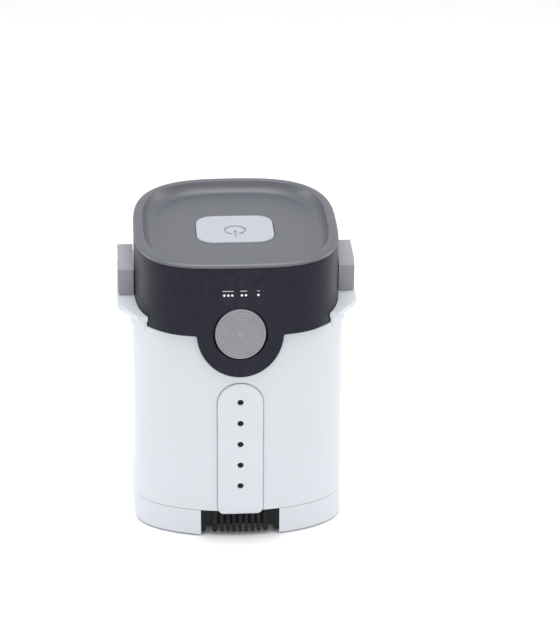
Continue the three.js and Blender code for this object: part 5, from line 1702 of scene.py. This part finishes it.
# ------------------------------------------------------------------ pump
class CLEANER_OT_pod(bpy.types.Operator):
    """Motor pod under the head, with its screws and shaft seal."""
    bl_idname = "cleaner.pod"
    bl_label = "Motor Pod"

    def execute(self, context):
        lo, hi = low("pod_housing"), high("pod_housing")
        radius, flange, wall, bottom_wall = 35 * MM, hi.x, 2.5 * MM, 3 * MM
        flange_low = hi.z - 3.7 * MM
        ring = filleted([
            (4.4 * MM, lo.z), (radius, lo.z, 2.5 * MM), (radius, flange_low, 1.2 * MM),
            (flange, flange_low, 0.6 * MM), (flange, hi.z, 0.4 * MM),
            (radius - wall, hi.z, 0.4 * MM), (radius - wall, lo.z + bottom_wall, 1 * MM),
            (4.4 * MM, lo.z + bottom_wall)])
        rings = [on_axis(circle(r, count=96), z, "Z") for r, z in ring]
        piece = loft("motor_pod", rings, closed=True)
        duct = low("outlet_duct")
        cutters = [block("duct_room", (duct.x - 0.3 * MM, duct.y - 0.3 * MM, flange_low - 1 * MM),
                         (-duct.x + 0.3 * MM, flange + 5 * MM, hi.z + 1 * MM))]
        for i in range(4):
            screw_at = middle(f"pod_screw_{i + 1}")
            cutters.append(upright(SCREW_HOLE, flange_low - 1 * MM, hi.z + 1 * MM, screw_at.x,
                                   screw_at.y, count=20))
        cut(piece, *cutters)
        for band in (0.28, 0.62):
            z = lo.z + (flange_low - lo.z) * band
            hoop = [(radius - 0.5 * MM, z - 1.6 * MM), (radius + 0.45 * MM, z - 1.1 * MM),
                    (radius + 0.45 * MM, z + 1.1 * MM), (radius - 0.5 * MM, z + 1.6 * MM)]
            join(piece, loft("band", [on_axis(circle(r, count=96), h, "Z") for r, h in hoop],
                             closed=True))
        place(piece, "head", finish_named("charcoal"), "charcoal", "pod_housing")
        for i in range(4):
            node = f"pod_screw_{i + 1}"
            place(screw(f"flange_screw_{i + 1}", node), "head", finish_named("steel"), "steel",
                  node)
        lo, hi = low("shaft_seal"), high("shaft_seal")
        lip = filleted([(4.3 * MM, lo.z), (9 * MM, lo.z, 0.4 * MM), (9 * MM, hi.z, 0.4 * MM),
                        (6.5 * MM, hi.z, 0.3 * MM), (5.6 * MM, hi.z - 0.8 * MM, 0.3 * MM),
                        (4.3 * MM, hi.z - 0.4 * MM)])
        seal = loft("lip_seal", [on_axis(circle(r, count=56), z, "Z") for r, z in lip],
                    closed=True)
        place(seal, "head", finish_named("rubber"), "rubber", "shaft_seal")
        return {"FINISHED"}


class CLEANER_OT_motor(bpy.types.Operator):
    """Motor can with its crown, and the shaft."""
    bl_idname = "cleaner.motor"
    bl_label = "Motor"

    def execute(self, context):
        lo, hi = low("motor"), high("motor")
        radius, bore = 32.2 * MM, 4.4 * MM
        body_top = hi.z - 5 * MM
        section = filleted([
            (bore, lo.z), (radius, lo.z, 1.5 * MM), (radius, lo.z + 8 * MM),
            (radius - 0.6 * MM, lo.z + 8.4 * MM), (radius - 0.6 * MM, body_top - 9 * MM),
            (radius, body_top - 8.6 * MM), (radius, body_top, 2 * MM),
            (12 * MM, body_top, 0.8 * MM), (12 * MM, hi.z, 0.8 * MM), (4.6 * MM, hi.z)])
        piece = turned("pump_motor", section, count=96)
        cut(piece, upright(bore, lo.z - 1 * MM, lo.z + 20.4 * MM, 0.0, 0.0))
        place(piece, "head", finish_named("steel"), "steel", "motor")
        lo, hi = low("motor_shaft"), high("motor_shaft")
        shaft = turned("rotor_shaft", [(3.4 * MM, lo.z), (4 * MM, lo.z + 0.6 * MM),
                                       (4 * MM, hi.z - 0.6 * MM), (3.4 * MM, hi.z)], count=48)
        place(shaft, "rotor", finish_named("steel"), "steel", "motor_shaft")
        return {"FINISHED"}


class CLEANER_OT_pump(bpy.types.Operator):
    """Pump volute and the impeller in it."""
    bl_idname = "cleaner.pump"
    bl_label = "Pump"

    def execute(self, context):
        lo, hi = low("pump_volute"), high("pump_volute")
        radius, wall, eye, hub = hi.x, 3 * MM, 16 * MM, 4.3 * MM
        ring = filleted([
            (eye, lo.z, 0.8 * MM), (radius, lo.z, 3 * MM), (radius, hi.z, 3 * MM),
            (hub, hi.z, 0.3 * MM), (hub, hi.z - wall), (radius - wall, hi.z - wall, 2 * MM),
            (radius - wall, lo.z + wall, 2 * MM), (eye, lo.z + wall, 0.8 * MM),
            (eye, lo.z + 0.5 * MM)])
        piece = loft("volute", [on_axis(circle(r, count=112), z, "Z") for r, z in ring[:-1]],
                     closed=True)
        half = 18 * MM
        outlet = block("outlet", (-half, radius - 12 * MM, lo.z + wall + 2 * MM),
                       (half, radius + 2 * MM, hi.z - wall - 2 * MM))
        cut(piece, outlet)
        place(piece, "head", finish_named("charcoal"), "charcoal", "pump_volute")

        lo, hi = low("impeller"), high("impeller")
        radius, bore = 33 * MM, 4.3 * MM
        section = filleted([(bore, lo.z), (8 * MM, lo.z, 0.6 * MM), (8 * MM, hi.z - 4 * MM, 2 * MM),
                            (12 * MM, hi.z - 2 * MM, 1 * MM), (radius, hi.z - 2 * MM, 0.4 * MM),
                            (radius, hi.z, 0.4 * MM), (bore, hi.z)])
        disc = turned("impeller_wheel", section, count=96)
        cut(disc, upright(bore, lo.z - 1 * MM, hi.z + 1 * MM, 0.0, 0.0))
        for k in range(7):
            blade = []
            for part in range(9):
                share = part / 8
                reach = 7.2 * MM + (radius - 7.7 * MM) * share
                angle = 2 * math.pi * k / 7 - 0.5 * share
                blade.append((reach, angle))
            left = [(r * math.cos(a) - 1 * MM * math.sin(a), r * math.sin(a) + 1 * MM * math.cos(a))
                    for r, a in blade]
            right = [(r * math.cos(a) + 1 * MM * math.sin(a), r * math.sin(a) - 1 * MM * math.cos(a))
                     for r, a in reversed(blade)]
            join(disc, prism("blade", right + left, lo.z + 0.4 * MM, hi.z - 1 * MM))
        place(disc, "rotor", finish_named("rotor_plastic"), "rotor_plastic", "impeller")
        return {"FINISHED"}


# ------------------------------------------------------------------ stage
class CLEANER_OT_stage(bpy.types.Operator):
    """Pale floor, soft lights, camera and view settings."""
    bl_idname = "cleaner.stage"
    bl_label = "Stage"

    def area(self, name, location, target, width, height, power):
        data = bpy.data.lights.new(name, "AREA")
        data.shape, data.size, data.size_y, data.energy = "RECTANGLE", width, height, power
        lamp = bpy.data.objects.new(name, data)
        bpy.context.scene.collection.objects.link(lamp)
        lamp.location = location
        way = Vector(target) - Vector(location)
        lamp.rotation_euler = way.to_track_quat("-Z", "Y").to_euler()
        return lamp

    def execute(self, context):
        stage = context.scene.cleaner_stage
        corner = 6.0
        floor = piece_from("floor", [(-corner, -corner, 0), (corner, -corner, 0),
                                     (corner, corner, 0), (-corner, corner, 0)], [(0, 1, 2, 3)])
        floor.data.materials.append(plastic("Studio Floor", (0.93, 0.93, 0.94), 0.75, 2 * MM,
                                            0.01 * MM, wear=0.0, dust=0.0))

        world = bpy.data.worlds.new("Studio")
        world.use_nodes = True
        sky = world.node_tree.nodes["Background"]
        sky.inputs["Color"].default_value = (1.0, 1.0, 1.0, 1.0)
        sky.inputs["Strength"].default_value = WORLD_STRENGTH
        context.scene.world = world

        aim = (0.0, 0.0, 0.16)
        self.area("Top Light", (0.0, -0.15, 1.5), aim, 1.2, 1.0, stage.key)
        self.area("Left Light", (-1.5, 0.5, 0.7), aim, 0.5, 1.3, stage.side)
        self.area("Right Light", (1.5, 0.5, 0.7), aim, 0.5, 1.3, stage.side)
        self.area("Front Light", (0.2, -2.2, 0.8), aim, 1.0, 0.8, stage.front)

        turn, rise, roll = stage.azimuth, stage.elevation, stage.roll
        back = Vector((math.sin(turn) * math.cos(rise), -math.cos(turn) * math.cos(rise),
                       math.sin(rise)))
        level = Vector((math.cos(turn), math.sin(turn), 0.0))
        straight = back.cross(level)
        right = level * math.cos(roll) + straight * math.sin(roll)
        up = back.cross(right)
        aim_at = Vector((0.0, 0.0, VIEW_HEIGHT)) + right * stage.aim_right + up * stage.aim_up
        data = bpy.data.cameras.new("Camera")
        data.lens, data.sensor_width, data.clip_end = stage.lens, 36.0, 50.0
        camera = bpy.data.objects.new("Camera", data)
        context.scene.collection.objects.link(camera)
        camera.matrix_world = Matrix.Translation(aim_at + back * stage.distance) @ Matrix(
            (right, up, back)).transposed().to_4x4()
        context.scene.camera = camera
        context.scene.view_settings.view_transform = "Standard"
        context.scene.view_settings.look = "None"
        return {"FINISHED"}


# ------------------------------------------------------------------ add-on
OPERATORS = (
    CLEANER_OT_stage, CLEANER_OT_tank, CLEANER_OT_base, CLEANER_OT_feet, CLEANER_OT_base_screws,
    CLEANER_OT_strip, CLEANER_OT_studs, CLEANER_OT_comb, CLEANER_OT_intake, CLEANER_OT_basket,
    CLEANER_OT_deck_seal, CLEANER_OT_latches, CLEANER_OT_head, CLEANER_OT_lamps,
    CLEANER_OT_cover, CLEANER_OT_power_button, CLEANER_OT_mode_button, CLEANER_OT_outlet,
    CLEANER_OT_port, CLEANER_OT_board, CLEANER_OT_cells, CLEANER_OT_pod, CLEANER_OT_motor,
    CLEANER_OT_pump)
GROUPS = (("cleaner_sizes", CleanerSizes), ("cleaner_colours", CleanerColours),
          ("cleaner_stage", CleanerStage))


class CLEANER_PT_panel(bpy.types.Panel):
    """Lists the sizes, the colours and every piece."""
    bl_idname = "CLEANER_PT_panel"
    bl_label = "Pool Cleaner"
    bl_space_type = "VIEW_3D"
    bl_region_type = "UI"
    bl_category = PANEL_TAB

    def draw(self, context):
        for attribute, group in GROUPS:
            box = self.layout.box()
            for name in group.__annotations__:
                box.prop(getattr(context.scene, attribute), name)
        for operator in OPERATORS:
            self.layout.operator(operator.bl_idname)


def register():
    for attribute, group in GROUPS:
        bpy.utils.register_class(group)
        setattr(bpy.types.Scene, attribute, bpy.props.PointerProperty(type=group))
    for operator in OPERATORS:
        bpy.utils.register_class(operator)
    bpy.utils.register_class(CLEANER_PT_panel)


def unregister():
    bpy.utils.unregister_class(CLEANER_PT_panel)
    for operator in reversed(OPERATORS):
        bpy.utils.unregister_class(operator)
    for attribute, group in reversed(GROUPS):
        delattr(bpy.types.Scene, attribute)
        bpy.utils.unregister_class(group)


def main():
    """Builds every piece."""
    register()
    for operator in OPERATORS:
        getattr(bpy.ops.cleaner, operator.bl_idname.split(".")[1])()


if __name__ == "__main__":
    main()
